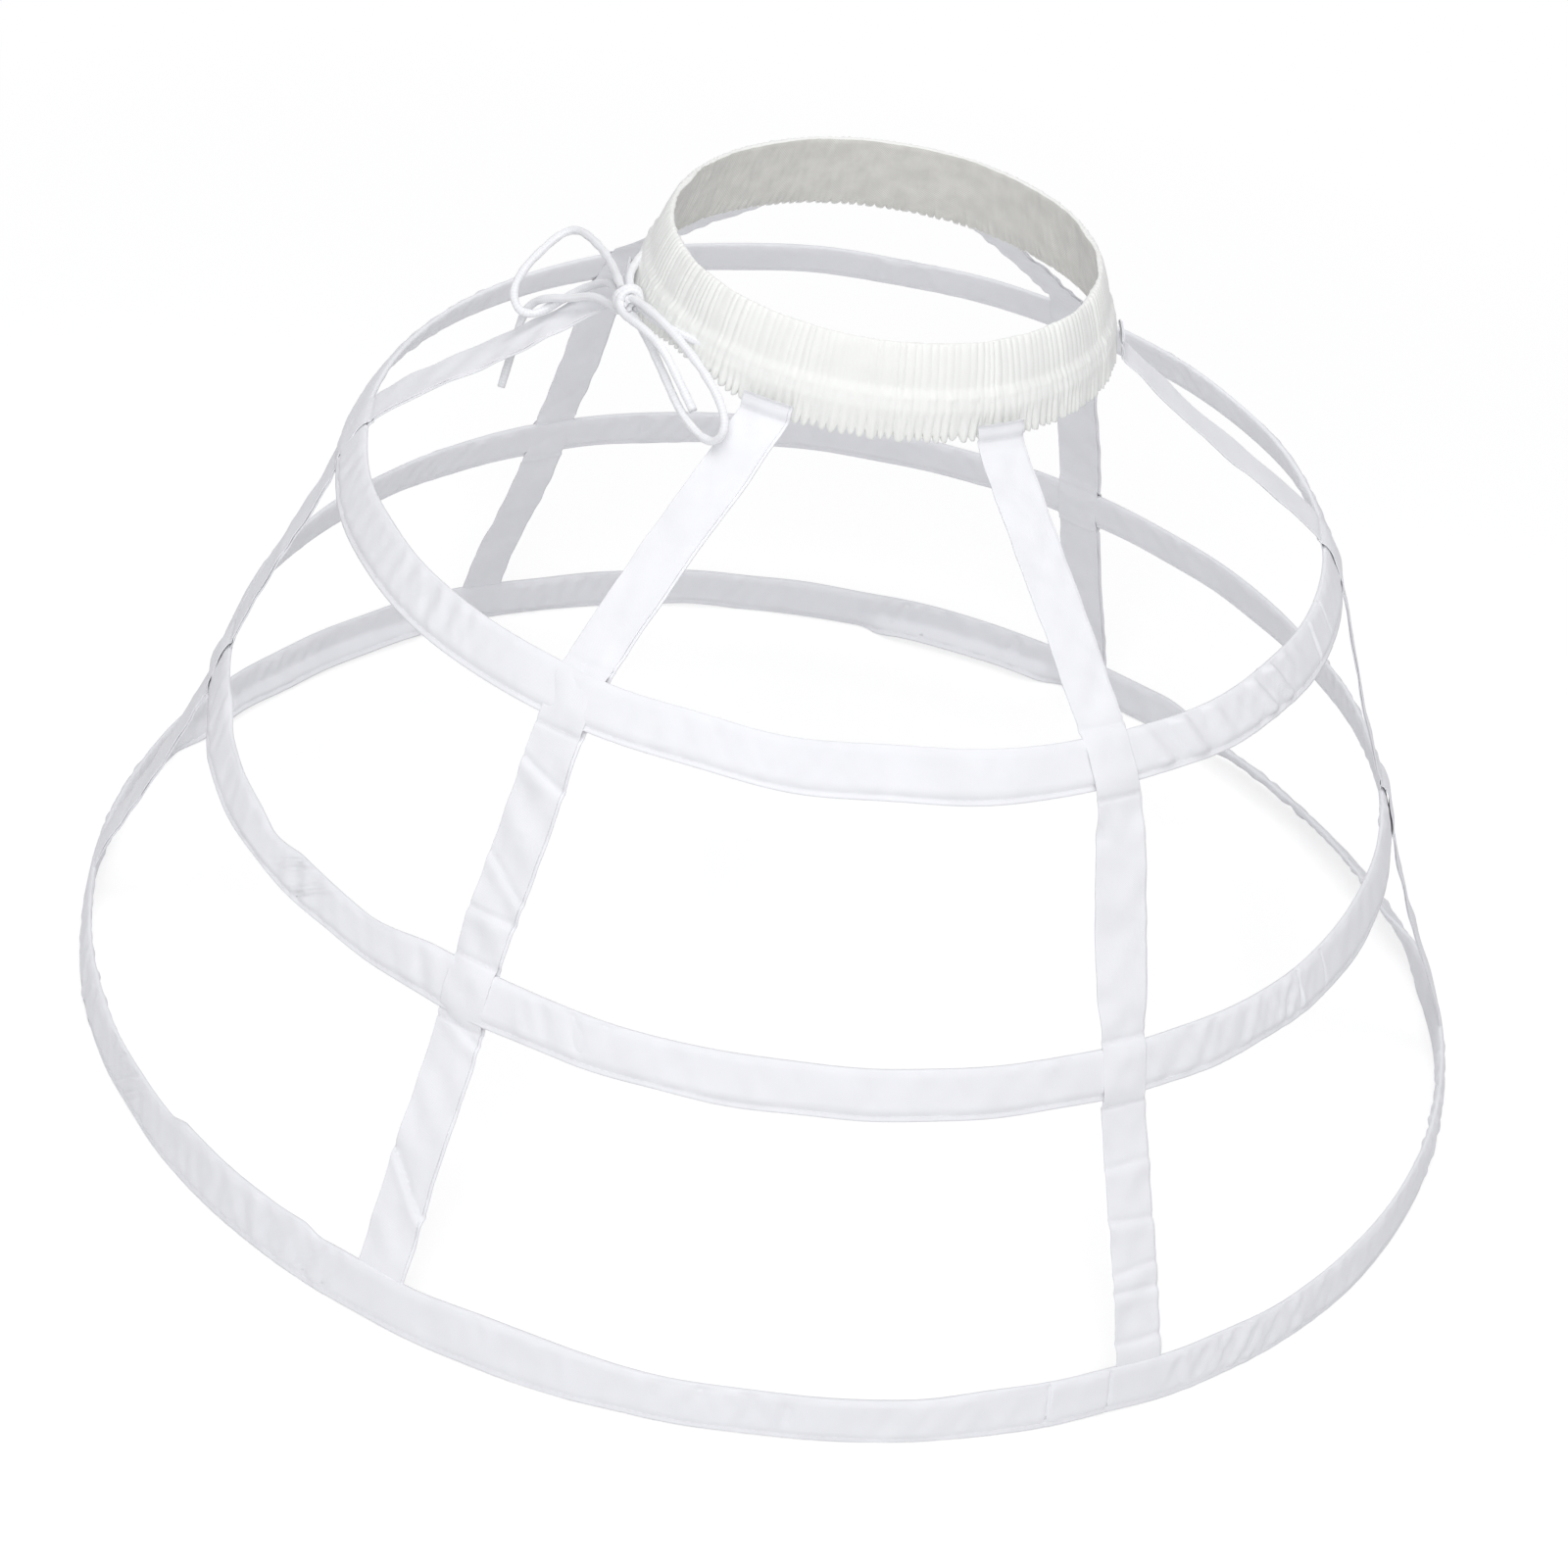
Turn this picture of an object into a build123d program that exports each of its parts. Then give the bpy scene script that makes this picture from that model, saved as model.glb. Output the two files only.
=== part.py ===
from build123d import *

import math
import os
from dataclasses import dataclass

# Crinoline cage: three boned hoops hung on six doubled tapes from a gathered drawstring waistband.
# Millimetres, +Z up. The bottom hoop's lower edge lies on the floor at z = 0, and the front is towards -Y.

# Hoops: radius and height are at the middle of the boning, lean is the casing's angle from upright,
# and the join is where the boning's two ends meet
bottom_hoop_radius = 300.0
middle_hoop_radius = 250.5
top_hoop_radius = 204.0
middle_hoop_height = 132.0
top_hoop_height = 248.5
bottom_hoop_lean = 7.0
middle_hoop_lean = 20.0
top_hoop_lean = 31.0
bottom_join_azimuth = 300.0
middle_join_azimuth = 330.0
top_join_azimuth = 346.0

# Boning: flat spring strip, its ends held in a crimped ferrule
boning_width = 12.0
boning_thickness = 0.8
boning_end_gap = 1.0
ferrule_length = 42.0
ferrule_wall = 0.35
ferrule_slip = 0.1

# Casing: a flat cloth tube, thicker over the boning than at its two stitched edges
casing_width = 21.0
casing_wall = 0.55
casing_slip = 0.2
casing_edge_thickness = 2.2

# Straps: tapes of two plies that part round the upper hoops, sewn on the waistband's frill at one end
# and tucked into the bottom casing at the other
strap_width = 20.0
strap_ply = 0.5
strap_slip = 0.2
strap_parting = 3.0
strap_bend_gap = 1.5
strap_waist_lap = 8.0
strap_hem_tuck = 3.0
first_strap_azimuth = 4.0
strap_names = (
    "right_strap",
    "back_right_strap",
    "back_left_strap",
    "left_strap",
    "front_left_strap",
    "front_right_strap",
)

# Waistband: a cloth tube flaring downwards, gathered outside, with a tunnel for the elastic above
# the middle row of stitching and one for the drawstring below it
waist_foot_height = 332.5
waistband_height = 35.5
waist_inner_top_radius = 85.0
waist_inner_foot_radius = 95.0
waist_wall = 0.8
waist_slip = 0.2
waist_stitch_thickness = 2.6
waist_edge_thickness = 2.8
frill_thickness = 3.4
gather_count = 96
frill_swell = 2.2
drawstring_swell = 1.0
stitch_swell = 0.3
elastic_swell = 0.9
edge_swell = 0.6
gather_shares = (1.0, 0.75, 1.1, 0.65, 0.9)
crest_start_share = 0.3
crest_end_share = 0.7
drawstring_height_share = 0.36
stitch_height_share = 0.5
elastic_height_share = 0.76

# Elastic inside the upper tunnel
elastic_width = 13.0
elastic_thickness = 1.0

# Drawstring: it runs round the lower tunnel, comes out by two holes and is tied in a bow
cord_diameter = 3.4
cord_slip = 0.3
bow_azimuth = 204.0
tunnel_exit_angle = 25.0
lead_bend_angle = 12.0
lead_end_angle = 2.8
lead_bend_radius = 100.6
lead_end_radius = 103.0

# Knot of the bow: a bundle along the waist with one turn of cord wrapped round it
knot_radius_from_axis = 105.5
knot_half_length = 7.0
knot_bundle_radius = 5.6
knot_wrap_radius = 4.5
knot_wrap_thickness = 3.8
knot_slip = 0.1

# Bow: routes of the two loops and two tails, from the knot
front_loop_route = (
    (-95.0, -46.6, 347.6),
    (-91.0, -53.0, 350.0),
    (-81.0, -66.5, 351.0),
    (-70.0, -79.0, 348.0),
    (-59.0, -92.0, 343.0),
    (-51.5, -102.5, 337.4),
    (-49.0, -108.1, 330.3),
    (-53.0, -107.2, 323.6),
    (-60.0, -100.2, 322.6),
    (-68.5, -88.6, 325.1),
    (-77.0, -75.0, 332.0),
    (-85.5, -61.5, 338.5),
    (-91.0, -53.0, 341.3),
    (-95.5, -45.9, 342.1),
)
side_loop_route = (
    (-99.4, -41.4, 347.8),
    (-102.0, -32.5, 347.5),
    (-104.5, -21.0, 345.0),
    (-109.0, -7.0, 343.5),
    (-116.5, 8.0, 342.0),
    (-124.0, 20.0, 339.5),
    (-130.5, 20.0, 336.5),
    (-136.5, 12.0, 332.5),
    (-143.0, 4.0, 326.0),
    (-146.0, -2.2, 318.5),
    (-142.5, -6.9, 312.4),
    (-135.5, -5.7, 311.0),
    (-127.0, -0.9, 316.2),
    (-117.5, -1.6, 324.8),
    (-108.0, -12.0, 335.0),
    (-103.0, -25.5, 340.3),
    (-98.9, -39.4, 343.2),
)
front_tail_route = (
    (-99.6, -45.9, 345.0),
    (-98.5, -52.5, 343.8),
    (-90.0, -62.5, 345.5),
    (-79.0, -74.0, 343.5),
    (-69.0, -85.5, 334.0),
    (-63.0, -92.5, 328.0),
)
side_tail_route = (
    (-98.0, -43.1, 340.7),
    (-99.8, -38.0, 336.0),
    (-105.0, -27.3, 333.8),
    (-113.0, -16.2, 329.8),
    (-122.0, -9.6, 323.2),
    (-130.5, -4.2, 319.2),
    (-137.5, 2.2, 312.8),
    (-141.5, 4.3, 304.2),
    (-143.0, 2.5, 293.0),
    (-144.5, -1.5, 284.0),
    (-146.0, -4.5, 275.0),
)
bend_share = 0.45

# Sizes that follow from the ones above
ferrule_inner_width = boning_width + 2 * ferrule_slip
ferrule_inner_thickness = boning_thickness + 2 * ferrule_slip
ferrule_outer_width = ferrule_inner_width + 2 * ferrule_wall
ferrule_outer_thickness = ferrule_inner_thickness + 2 * ferrule_wall
boning_channel_width = ferrule_outer_width + 2 * casing_slip
boning_channel_thickness = ferrule_outer_thickness + 2 * casing_slip
casing_flat_width = boning_channel_width + 2 * casing_wall
casing_thickness = boning_channel_thickness + 2 * casing_wall
bottom_hoop_height = casing_width / 2 * math.cos(math.radians(bottom_hoop_lean))
waist_top_height = waist_foot_height + waistband_height
cord_tunnel_diameter = cord_diameter + 2 * cord_slip
elastic_inset = waist_wall + waist_slip + elastic_thickness / 2
drawstring_height = waist_foot_height + waistband_height * drawstring_height_share


@dataclass(frozen=True)
class Hoop:
    """One hoop: where its boning runs, how its casing leans and where its ends join."""

    name: str
    radius: float
    height: float
    lean: float
    join_azimuth: float
    on_floor: bool = False

    def at(self, along, out):
        """Point of the upright section at a distance down the casing and a distance outwards."""
        lean = math.radians(self.lean)
        radius = self.radius + along * math.sin(lean) + out * math.cos(lean)
        height = self.height - along * math.cos(lean) + out * math.sin(lean)
        return (radius, 0, height)

    def lower_edge(self, out):
        """How far down the casing its lower edge is; the bottom hoop's is flat on the floor."""
        if not self.on_floor:
            return casing_width / 2
        lean = math.radians(self.lean)
        return (self.height + out * math.sin(lean)) / math.cos(lean)


bottom_hoop = Hoop(
    "bottom", bottom_hoop_radius, bottom_hoop_height, bottom_hoop_lean, bottom_join_azimuth, True
)
middle_hoop = Hoop(
    "middle", middle_hoop_radius, middle_hoop_height, middle_hoop_lean, middle_join_azimuth
)
top_hoop = Hoop("top", top_hoop_radius, top_hoop_height, top_hoop_lean, top_join_azimuth)


def section(points):
    """Closed flat face through points."""
    return make_face(Polyline(*points, close=True))


def ring(points, arc=360.0, azimuth=0.0):
    """Solid of a section turned about the axis, its arc centred on an azimuth."""
    solid = revolve(section(points), axis=Axis.Z, revolution_arc=arc)
    return Rot(0, 0, azimuth - arc / 2) * solid


def strip_section(hoop, width, thickness):
    """Corners of a flat strip that lies along a hoop's casing."""
    along = width / 2
    out = thickness / 2
    return [hoop.at(-along, -out), hoop.at(-along, out), hoop.at(along, out), hoop.at(along, -out)]


def arc_of(length, radius):
    """Angle that a length takes up round a radius."""
    return math.degrees(length / radius)


def casing_section(hoop):
    """Outline of a hoop's casing: thin stitched edges and a flat swelling over the boning."""
    upper = -casing_width / 2
    flat = casing_flat_width / 2
    edge = casing_edge_thickness / 2
    swell = casing_thickness / 2
    return [
        hoop.at(upper, edge),
        hoop.at(-flat, swell),
        hoop.at(flat, swell),
        hoop.at(hoop.lower_edge(edge), edge),
        hoop.at(hoop.lower_edge(-edge), -edge),
        hoop.at(flat, -swell),
        hoop.at(-flat, -swell),
        hoop.at(upper, -edge),
    ]


def casing(hoop):
    """Cloth tube round a hoop's boning."""
    channel = strip_section(hoop, boning_channel_width, boning_channel_thickness)
    return ring(casing_section(hoop)) - ring(channel)


def boning(hoop):
    """Spring strip bent to an open ring, its ends a small gap apart at the join."""
    arc = 360.0 - arc_of(boning_end_gap, hoop.radius)
    return ring(strip_section(hoop, boning_width, boning_thickness), arc, hoop.join_azimuth + 180.0)


def ferrule(hoop):
    """Crimped sleeve over the boning's two ends."""
    arc = arc_of(ferrule_length, hoop.radius)
    outer = strip_section(hoop, ferrule_outer_width, ferrule_outer_thickness)
    inner = strip_section(hoop, ferrule_inner_width, ferrule_inner_thickness)
    return ring(outer, arc, hoop.join_azimuth) - ring(inner, arc, hoop.join_azimuth)


def waist_wall_radius(height):
    """Radius of the waistband's inside at a height above the floor."""
    rise_share = (height - waist_foot_height) / waistband_height
    return waist_inner_foot_radius + (waist_inner_top_radius - waist_inner_foot_radius) * rise_share


def waist_at(height, inset):
    """Point of the upright section at an inset from the waistband's inside."""
    return (waist_wall_radius(height) + inset, 0, height)


def over_hoop(hoop, lift, side):
    """Line of a strap's ply where it parts round a hoop, from above the casing to below it."""
    edge = casing_width / 2
    flat = casing_flat_width / 2
    edge_out = casing_edge_thickness / 2 + strap_slip + lift
    flat_out = casing_thickness / 2 + strap_slip + lift
    return [
        hoop.at(-edge - strap_parting, side * lift),
        hoop.at(-edge - strap_slip, side * edge_out),
        hoop.at(-flat, side * flat_out),
        hoop.at(flat, side * flat_out),
        hoop.at(edge + strap_slip, side * edge_out),
        hoop.at(edge + strap_parting, side * lift),
    ]


def strap_pocket(hoop):
    """Outline of the space between a strap's plies, where a hoop goes through."""
    outer = over_hoop(hoop, 0, 1)
    inner = over_hoop(hoop, 0, -1)
    return outer + inner[-2:0:-1]


def frill_crest_radius(height):
    """Radius of the frill's highest folds, between the waistband's foot and its drawstring."""
    crest_share = max(gather_shares)
    foot = waist_inner_foot_radius + frill_thickness + frill_swell * crest_share
    tunnel = waist_wall_radius(drawstring_height) + tunnel_bulge() + drawstring_swell * crest_share
    return foot + (tunnel - foot) * (height - waist_foot_height) / (drawstring_height - waist_foot_height)


def strap_lap(height, side):
    """Point of a strap's end where it lies on the frill's folds at a height."""
    return (frill_crest_radius(height) + strap_slip + strap_ply + side * strap_ply, 0, height)


def strap_side(side):
    """One side of a strap's outline, from its end on the waistband to its end in the bottom casing."""
    upper_edge = -casing_width / 2
    return [
        strap_lap(waist_foot_height + strap_waist_lap, side),
        strap_lap(waist_foot_height - strap_bend_gap, side),
        *over_hoop(top_hoop, strap_ply, side),
        *over_hoop(middle_hoop, strap_ply, side),
        bottom_hoop.at(upper_edge - strap_bend_gap, side * strap_ply),
        bottom_hoop.at(upper_edge + strap_hem_tuck, side * strap_ply),
    ]


def tape(points, width):
    """Solid of a section kept to a width, at azimuth 0, so that it bends round the hoops."""
    arc = 2 * math.degrees(math.asin(width / waist_inner_top_radius))
    reach = bottom_hoop_radius + casing_width
    blank = Box(
        reach, width, waist_top_height, align=(Align.MIN, Align.CENTER, Align.MIN)
    )
    return ring(points, arc) & blank


def strap():
    """Doubled tape at azimuth 0, with its two plies parted round the top and middle hoops."""
    outline = strap_side(1) + strap_side(-1)[::-1]
    body = tape(outline, strap_width)
    for hoop in (top_hoop, middle_hoop):
        pocket_arc = 2 * math.degrees(math.asin(strap_width / hoop.radius))
        body -= ring(strap_pocket(hoop), pocket_arc)
    return body


def strap_azimuths():
    """Azimuth of each strap, evenly spaced."""
    step = 360.0 / len(strap_names)
    return [first_strap_azimuth + step * i for i in range(len(strap_names))]


def round_the_straps(cutter):
    """Copies of a cutter, one for each strap."""
    return [Rot(0, 0, azimuth) * cutter for azimuth in strap_azimuths()]


def hem_slot():
    """Space in the bottom casing's upper edge for a strap's end."""
    upper_edge = -casing_width / 2
    half = strap_ply + strap_slip
    floor = upper_edge + strap_hem_tuck + strap_slip
    outline = [
        bottom_hoop.at(upper_edge - casing_width / 2, half),
        bottom_hoop.at(floor, half),
        bottom_hoop.at(floor, -half),
        bottom_hoop.at(upper_edge - casing_width / 2, -half),
    ]
    return tape(outline, strap_width + 2 * strap_slip)


def tunnel_bulge():
    """Thickness of the waistband over the drawstring, between the folds."""
    return 2 * waist_wall + cord_tunnel_diameter


def gathered_level(height, thickness, swell):
    """Outline of the gathered cloth at one height: a ring of blunt folds that swell between pinches."""
    pinch = waist_wall_radius(height) + thickness
    step = 360.0 / gather_count
    corners = []
    for i in range(gather_count):
        crest = pinch + swell * gather_shares[i % len(gather_shares)]
        turns = ((pinch, i), (crest, i + crest_start_share), (crest, i + crest_end_share))
        for radius, turn in turns:
            angle = math.radians(step * turn)
            corners.append((radius * math.cos(angle), radius * math.sin(angle), height))
    return section(corners)


def gathered_cloth():
    """Outside of the waistband: frill, drawstring bulge, pinched stitching, elastic bulge, top edge."""
    elastic_bulge = 2 * waist_wall + 2 * waist_slip + elastic_thickness + waist_wall / 2
    stitch_height = waist_foot_height + waistband_height * stitch_height_share
    elastic_height = waist_foot_height + waistband_height * elastic_height_share
    levels = [
        gathered_level(waist_foot_height, frill_thickness, frill_swell),
        gathered_level(drawstring_height, tunnel_bulge(), drawstring_swell),
        gathered_level(stitch_height, waist_stitch_thickness, stitch_swell),
        gathered_level(elastic_height, elastic_bulge, elastic_swell),
        gathered_level(waist_top_height, waist_edge_thickness, edge_swell),
    ]
    return loft(levels, ruled=True)


def elastic_ring(slip):
    """Elastic band along the waistband's inside, with a slip all round."""
    middle = waist_foot_height + waistband_height * elastic_height_share
    half = elastic_width / 2 + slip
    depth = elastic_thickness / 2 + slip
    return ring(
        [
            waist_at(middle - half, elastic_inset - depth),
            waist_at(middle + half, elastic_inset - depth),
            waist_at(middle + half, elastic_inset + depth),
            waist_at(middle - half, elastic_inset + depth),
        ]
    )


def level_point(radius, angle):
    """Point at the drawstring's height, at an angle from the bow."""
    turn = math.radians(angle)
    return (radius * math.cos(turn), radius * math.sin(turn), drawstring_height)


def drawstring_paths():
    """The drawstring's run in its tunnel and its two leads to the knot, with the bow at azimuth 0."""
    run_radius = waist_wall_radius(drawstring_height) + waist_wall + cord_tunnel_diameter / 2
    run = CenterArc(
        (0, 0, drawstring_height), run_radius, tunnel_exit_angle, 360.0 - 2 * tunnel_exit_angle
    )
    out = TangentArc(
        run @ 1, level_point(lead_bend_radius, -lead_bend_angle), tangent=run % 1
    )
    back = TangentArc(out @ 1, level_point(lead_end_radius, -lead_end_angle), tangent=out % 1)
    near_lead = [out, back]
    far_lead = [mirror(edge, about=Plane.XZ).edge() for edge in near_lead]
    return run, near_lead, far_lead


def rod(path, diameter):
    """Round rod along a path."""
    return sweep(Plane(path @ 0, z_dir=path % 0) * Circle(diameter / 2), path=path)


def drawstring(diameter):
    """The held part of the drawstring: round the waist in its tunnel and out to the knot."""
    run, near_lead, far_lead = drawstring_paths()
    path = Wire([*far_lead[::-1], run, *near_lead])
    return Rot(0, 0, bow_azimuth) * rod(path, diameter)


def waistband():
    """Gathered cloth with its bore, its two tunnels and the holes that the drawstring leaves by."""
    beyond = waistband_height
    low = waist_foot_height - beyond
    high = waist_top_height + beyond
    bore = ring([(0, 0, low), waist_at(low, 0), waist_at(high, 0), (0, 0, high)])
    body = gathered_cloth() - bore
    body -= elastic_ring(waist_slip)
    return body - drawstring(cord_tunnel_diameter)


def bend_radii(route):
    """Radius of each bend of a cord's route, as large as its two runs allow."""
    points = [Vector(*point) for point in route]
    radii = []
    for before, corner, after in zip(points, points[1:], points[2:]):
        turn = math.radians((corner - before).get_angle(after - corner))
        shorter = min((corner - before).length, (after - corner).length)
        radii.append(bend_share * shorter / math.tan(turn / 2))
    return radii


def free_cord(route, diameter):
    """Round cord along a route of runs and tangent bends."""
    return rod(FilletPolyline(*route, radius=bend_radii(route)), diameter)


def knot(routes):
    """Bundle with one turn of cord round it, and a socket for each cord end that leaves it."""
    half_outline = Wire(
        [
            Edge.make_ellipse(knot_half_length, knot_bundle_radius, start_angle=0, end_angle=180),
            Edge.make_line((-knot_half_length, 0), (knot_half_length, 0)),
        ]
    )
    bundle = revolve(make_face(half_outline), axis=Axis.X)
    wrap = Rot(0, 90, 0) * Torus(knot_wrap_radius, knot_wrap_thickness / 2)
    place = Rot(0, 0, bow_azimuth) * Pos(knot_radius_from_axis, 0, drawstring_height) * Rot(0, 0, 90)
    body = place * (bundle + wrap)
    for route in routes:
        body -= free_cord(route, cord_diameter + 2 * knot_slip)
    return body - drawstring(cord_diameter + 2 * knot_slip)


def main():
    """Builds every piece and writes one file for each."""
    os.makedirs("parts", exist_ok=True)
    bow = {
        "bow_front_loop": front_loop_route,
        "bow_side_loop": side_loop_route,
        "bow_front_tail": front_tail_route,
        "bow_side_tail": side_tail_route,
    }
    pieces = {}
    for hoop in (bottom_hoop, middle_hoop, top_hoop):
        pieces[f"{hoop.name}_hoop_casing"] = casing(hoop)
        pieces[f"{hoop.name}_hoop_boning"] = boning(hoop)
        pieces[f"{hoop.name}_hoop_ferrule"] = ferrule(hoop)
    for slot in round_the_straps(hem_slot()):
        pieces["bottom_hoop_casing"] -= slot
    one_strap = strap()
    for name, azimuth in zip(strap_names, strap_azimuths()):
        pieces[name] = Rot(0, 0, azimuth) * one_strap
    pieces["waistband"] = waistband()
    pieces["waist_elastic"] = elastic_ring(0)
    pieces["drawstring"] = drawstring(cord_diameter)
    pieces["bow_knot"] = knot(bow.values())
    for name, route in bow.items():
        pieces[name] = free_cord(route, cord_diameter)
        print(name, "bend radii", [round(radius, 1) for radius in bend_radii(route)])
    for name, piece in pieces.items():
        export_step(piece, f"parts/{name}.step")


main()
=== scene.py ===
"""Dresses the crinoline cage: cloth casings, doubled tapes, a gathered waistband and a drawstring bow."""

import logging
import math
from dataclasses import dataclass, field
from enum import Enum
from typing import Optional, Sequence, Union

import bpy
import numpy as np
from mathutils import Matrix, Vector


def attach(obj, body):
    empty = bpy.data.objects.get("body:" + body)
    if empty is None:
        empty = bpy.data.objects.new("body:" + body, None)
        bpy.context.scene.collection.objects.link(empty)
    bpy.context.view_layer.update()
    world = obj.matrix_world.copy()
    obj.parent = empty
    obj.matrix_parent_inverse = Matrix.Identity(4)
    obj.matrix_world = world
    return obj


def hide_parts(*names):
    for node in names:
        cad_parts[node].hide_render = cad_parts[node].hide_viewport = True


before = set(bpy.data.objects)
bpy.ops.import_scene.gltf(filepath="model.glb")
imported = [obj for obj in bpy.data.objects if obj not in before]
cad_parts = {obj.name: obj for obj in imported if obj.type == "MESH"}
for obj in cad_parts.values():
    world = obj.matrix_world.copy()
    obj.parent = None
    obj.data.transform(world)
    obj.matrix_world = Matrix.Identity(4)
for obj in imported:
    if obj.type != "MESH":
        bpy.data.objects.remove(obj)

LOG = logging.getLogger("crinoline_cage")
BODY = "root"
UV_NAME = "UVMap"
FULL_TURN = 2.0 * math.pi
ROUTE_STEPS = 10
ROUTE_ORDER = 3
STEEP_LIMIT = 0.1

Point = tuple[float, float, float]
Colour = tuple[float, float, float]
WHITE: Colour = (1.0, 1.0, 1.0)


class Ply(Enum):
    """The two layers of a doubled tape, by the way that each faces."""

    OUTER = 1.0
    INNER = -1.0


class Face(Enum):
    """The two sides of a flat casing, by the way that each faces."""

    OUTSIDE = 1.0
    INSIDE = -1.0


class Socket:
    """A value in a shader tree, with arithmetic that adds the nodes for it."""

    def __init__(self, tree: "ShaderTree", link: bpy.types.NodeSocket) -> None:
        """Wraps a socket.

        Args:
            tree: The tree that the socket is in.
            link: The output socket.
        """
        self.tree = tree
        self.link = link

    def __add__(self, other: "Term") -> "Socket":
        """Sum."""
        return self.tree.maths("ADD", self, other)

    def __radd__(self, other: "Term") -> "Socket":
        """Sum, with the number first."""
        return self.tree.maths("ADD", other, self)

    def __sub__(self, other: "Term") -> "Socket":
        """Difference."""
        return self.tree.maths("SUBTRACT", self, other)

    def __rsub__(self, other: "Term") -> "Socket":
        """Difference, with the number first."""
        return self.tree.maths("SUBTRACT", other, self)

    def __mul__(self, other: "Term") -> "Socket":
        """Product."""
        return self.tree.maths("MULTIPLY", self, other)

    def __rmul__(self, other: "Term") -> "Socket":
        """Product, with the number first."""
        return self.tree.maths("MULTIPLY", other, self)

    def sine(self) -> "Socket":
        """Sine of the value, in radians."""
        return self.tree.maths("SINE", self)

    def larger(self, other: "Term") -> "Socket":
        """The larger of two values."""
        return self.tree.maths("MAXIMUM", self, other)


Term = Union[Socket, float, Sequence[float]]


class ShaderTree:
    """A material's or the world's nodes, emptied and ready to be filled."""

    def __init__(self, owner: Union[bpy.types.Material, bpy.types.World]) -> None:
        """Starts an empty tree.

        Args:
            owner: The material or world that the nodes belong to.
        """
        owner.use_nodes = True
        self.nodes = owner.node_tree.nodes
        self.links = owner.node_tree.links
        self.nodes.clear()

    def node(self, kind: str, settings: Optional[dict] = None, inputs: Optional[dict] = None,
             output: Union[int, str] = 0) -> Socket:
        """Adds a node.

        Args:
            kind: The node's type.
            settings: Its own settings, set before its sockets.
            inputs: Values or links by socket name or number.
            output: The output that is wanted.

        Returns:
            That output.
        """
        made = self.nodes.new(kind)
        for name, value in (settings or {}).items():
            setattr(made, name, value)
        for name, value in (inputs or {}).items():
            if isinstance(value, Socket):
                self.links.new(value.link, made.inputs[name])
            else:
                made.inputs[name].default_value = value
        return Socket(self, made.outputs[output]) if made.outputs else Socket(self, made.inputs[0])

    def maths(self, operation: str, *terms: Term) -> Socket:
        """Adds a Math node for an operation on some terms, and gives its result."""
        return self.node("ShaderNodeMath", {"operation": operation}, dict(enumerate(terms)))

    def mix(self, share: Term, first: Term, second: Term) -> Socket:
        """Mixes two colours, with a share of the second."""
        inputs = {"Factor": share, 6: first, 7: second}
        return self.node("ShaderNodeMix", {"data_type": "RGBA"}, inputs, 2)

    def noise(self, vector: Socket, scale: float, detail: float) -> Socket:
        """Adds a noise texture of so many waves for each unit of the vector, and gives its value, 0 to 1."""
        return self.node("ShaderNodeTexNoise", None, {"Vector": vector, "Scale": scale, "Detail": detail})

    def on_cloth(self) -> tuple[Socket, Socket, Socket]:
        """Adds the nodes that read the piece's UV map.

        Returns:
            The place on the map, and its distances along and across.
        """
        place = self.node("ShaderNodeUVMap", {"uv_map": UV_NAME})
        parts = self.node("ShaderNodeSeparateXYZ", None, {0: place}).link.node.outputs
        return place, Socket(self, parts["X"]), Socket(self, parts["Y"])

    def bump(self, height: Socket, strength: float) -> Socket:
        """Adds a bump of a height in metres."""
        return self.node("ShaderNodeBump", None, {"Strength": strength, "Distance": 1.0, "Height": height})

    def cover(self, inputs: dict) -> None:
        """Adds a material's surface, with these inputs, and its output."""
        surface = self.node("ShaderNodeBsdfPrincipled", None, inputs)
        self.node("ShaderNodeOutputMaterial", None, {"Surface": surface})

    def camera_sees(self) -> Socket:
        """Adds the nodes that tell which rays the camera sees.

        Returns:
            Whether a ray comes from the camera, straight, off a mirror or through glass.
        """
        rays = self.nodes.new("ShaderNodeLightPath")
        kinds = ("Is Camera Ray", "Is Glossy Ray", "Is Transmission Ray")
        straight, glossy, through = (Socket(self, rays.outputs[kind]) for kind in kinds)
        return straight.larger(glossy).larger(through)


def rgba(colour: Colour) -> tuple[float, float, float, float]:
    """The colour with full alpha."""
    return (*colour, 1.0)


def shaded(colour: Colour, share: float) -> tuple[float, float, float, float]:
    """The colour made darker by a share, with full alpha."""
    return (*(channel * (1.0 - share) for channel in colour), 1.0)


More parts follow.
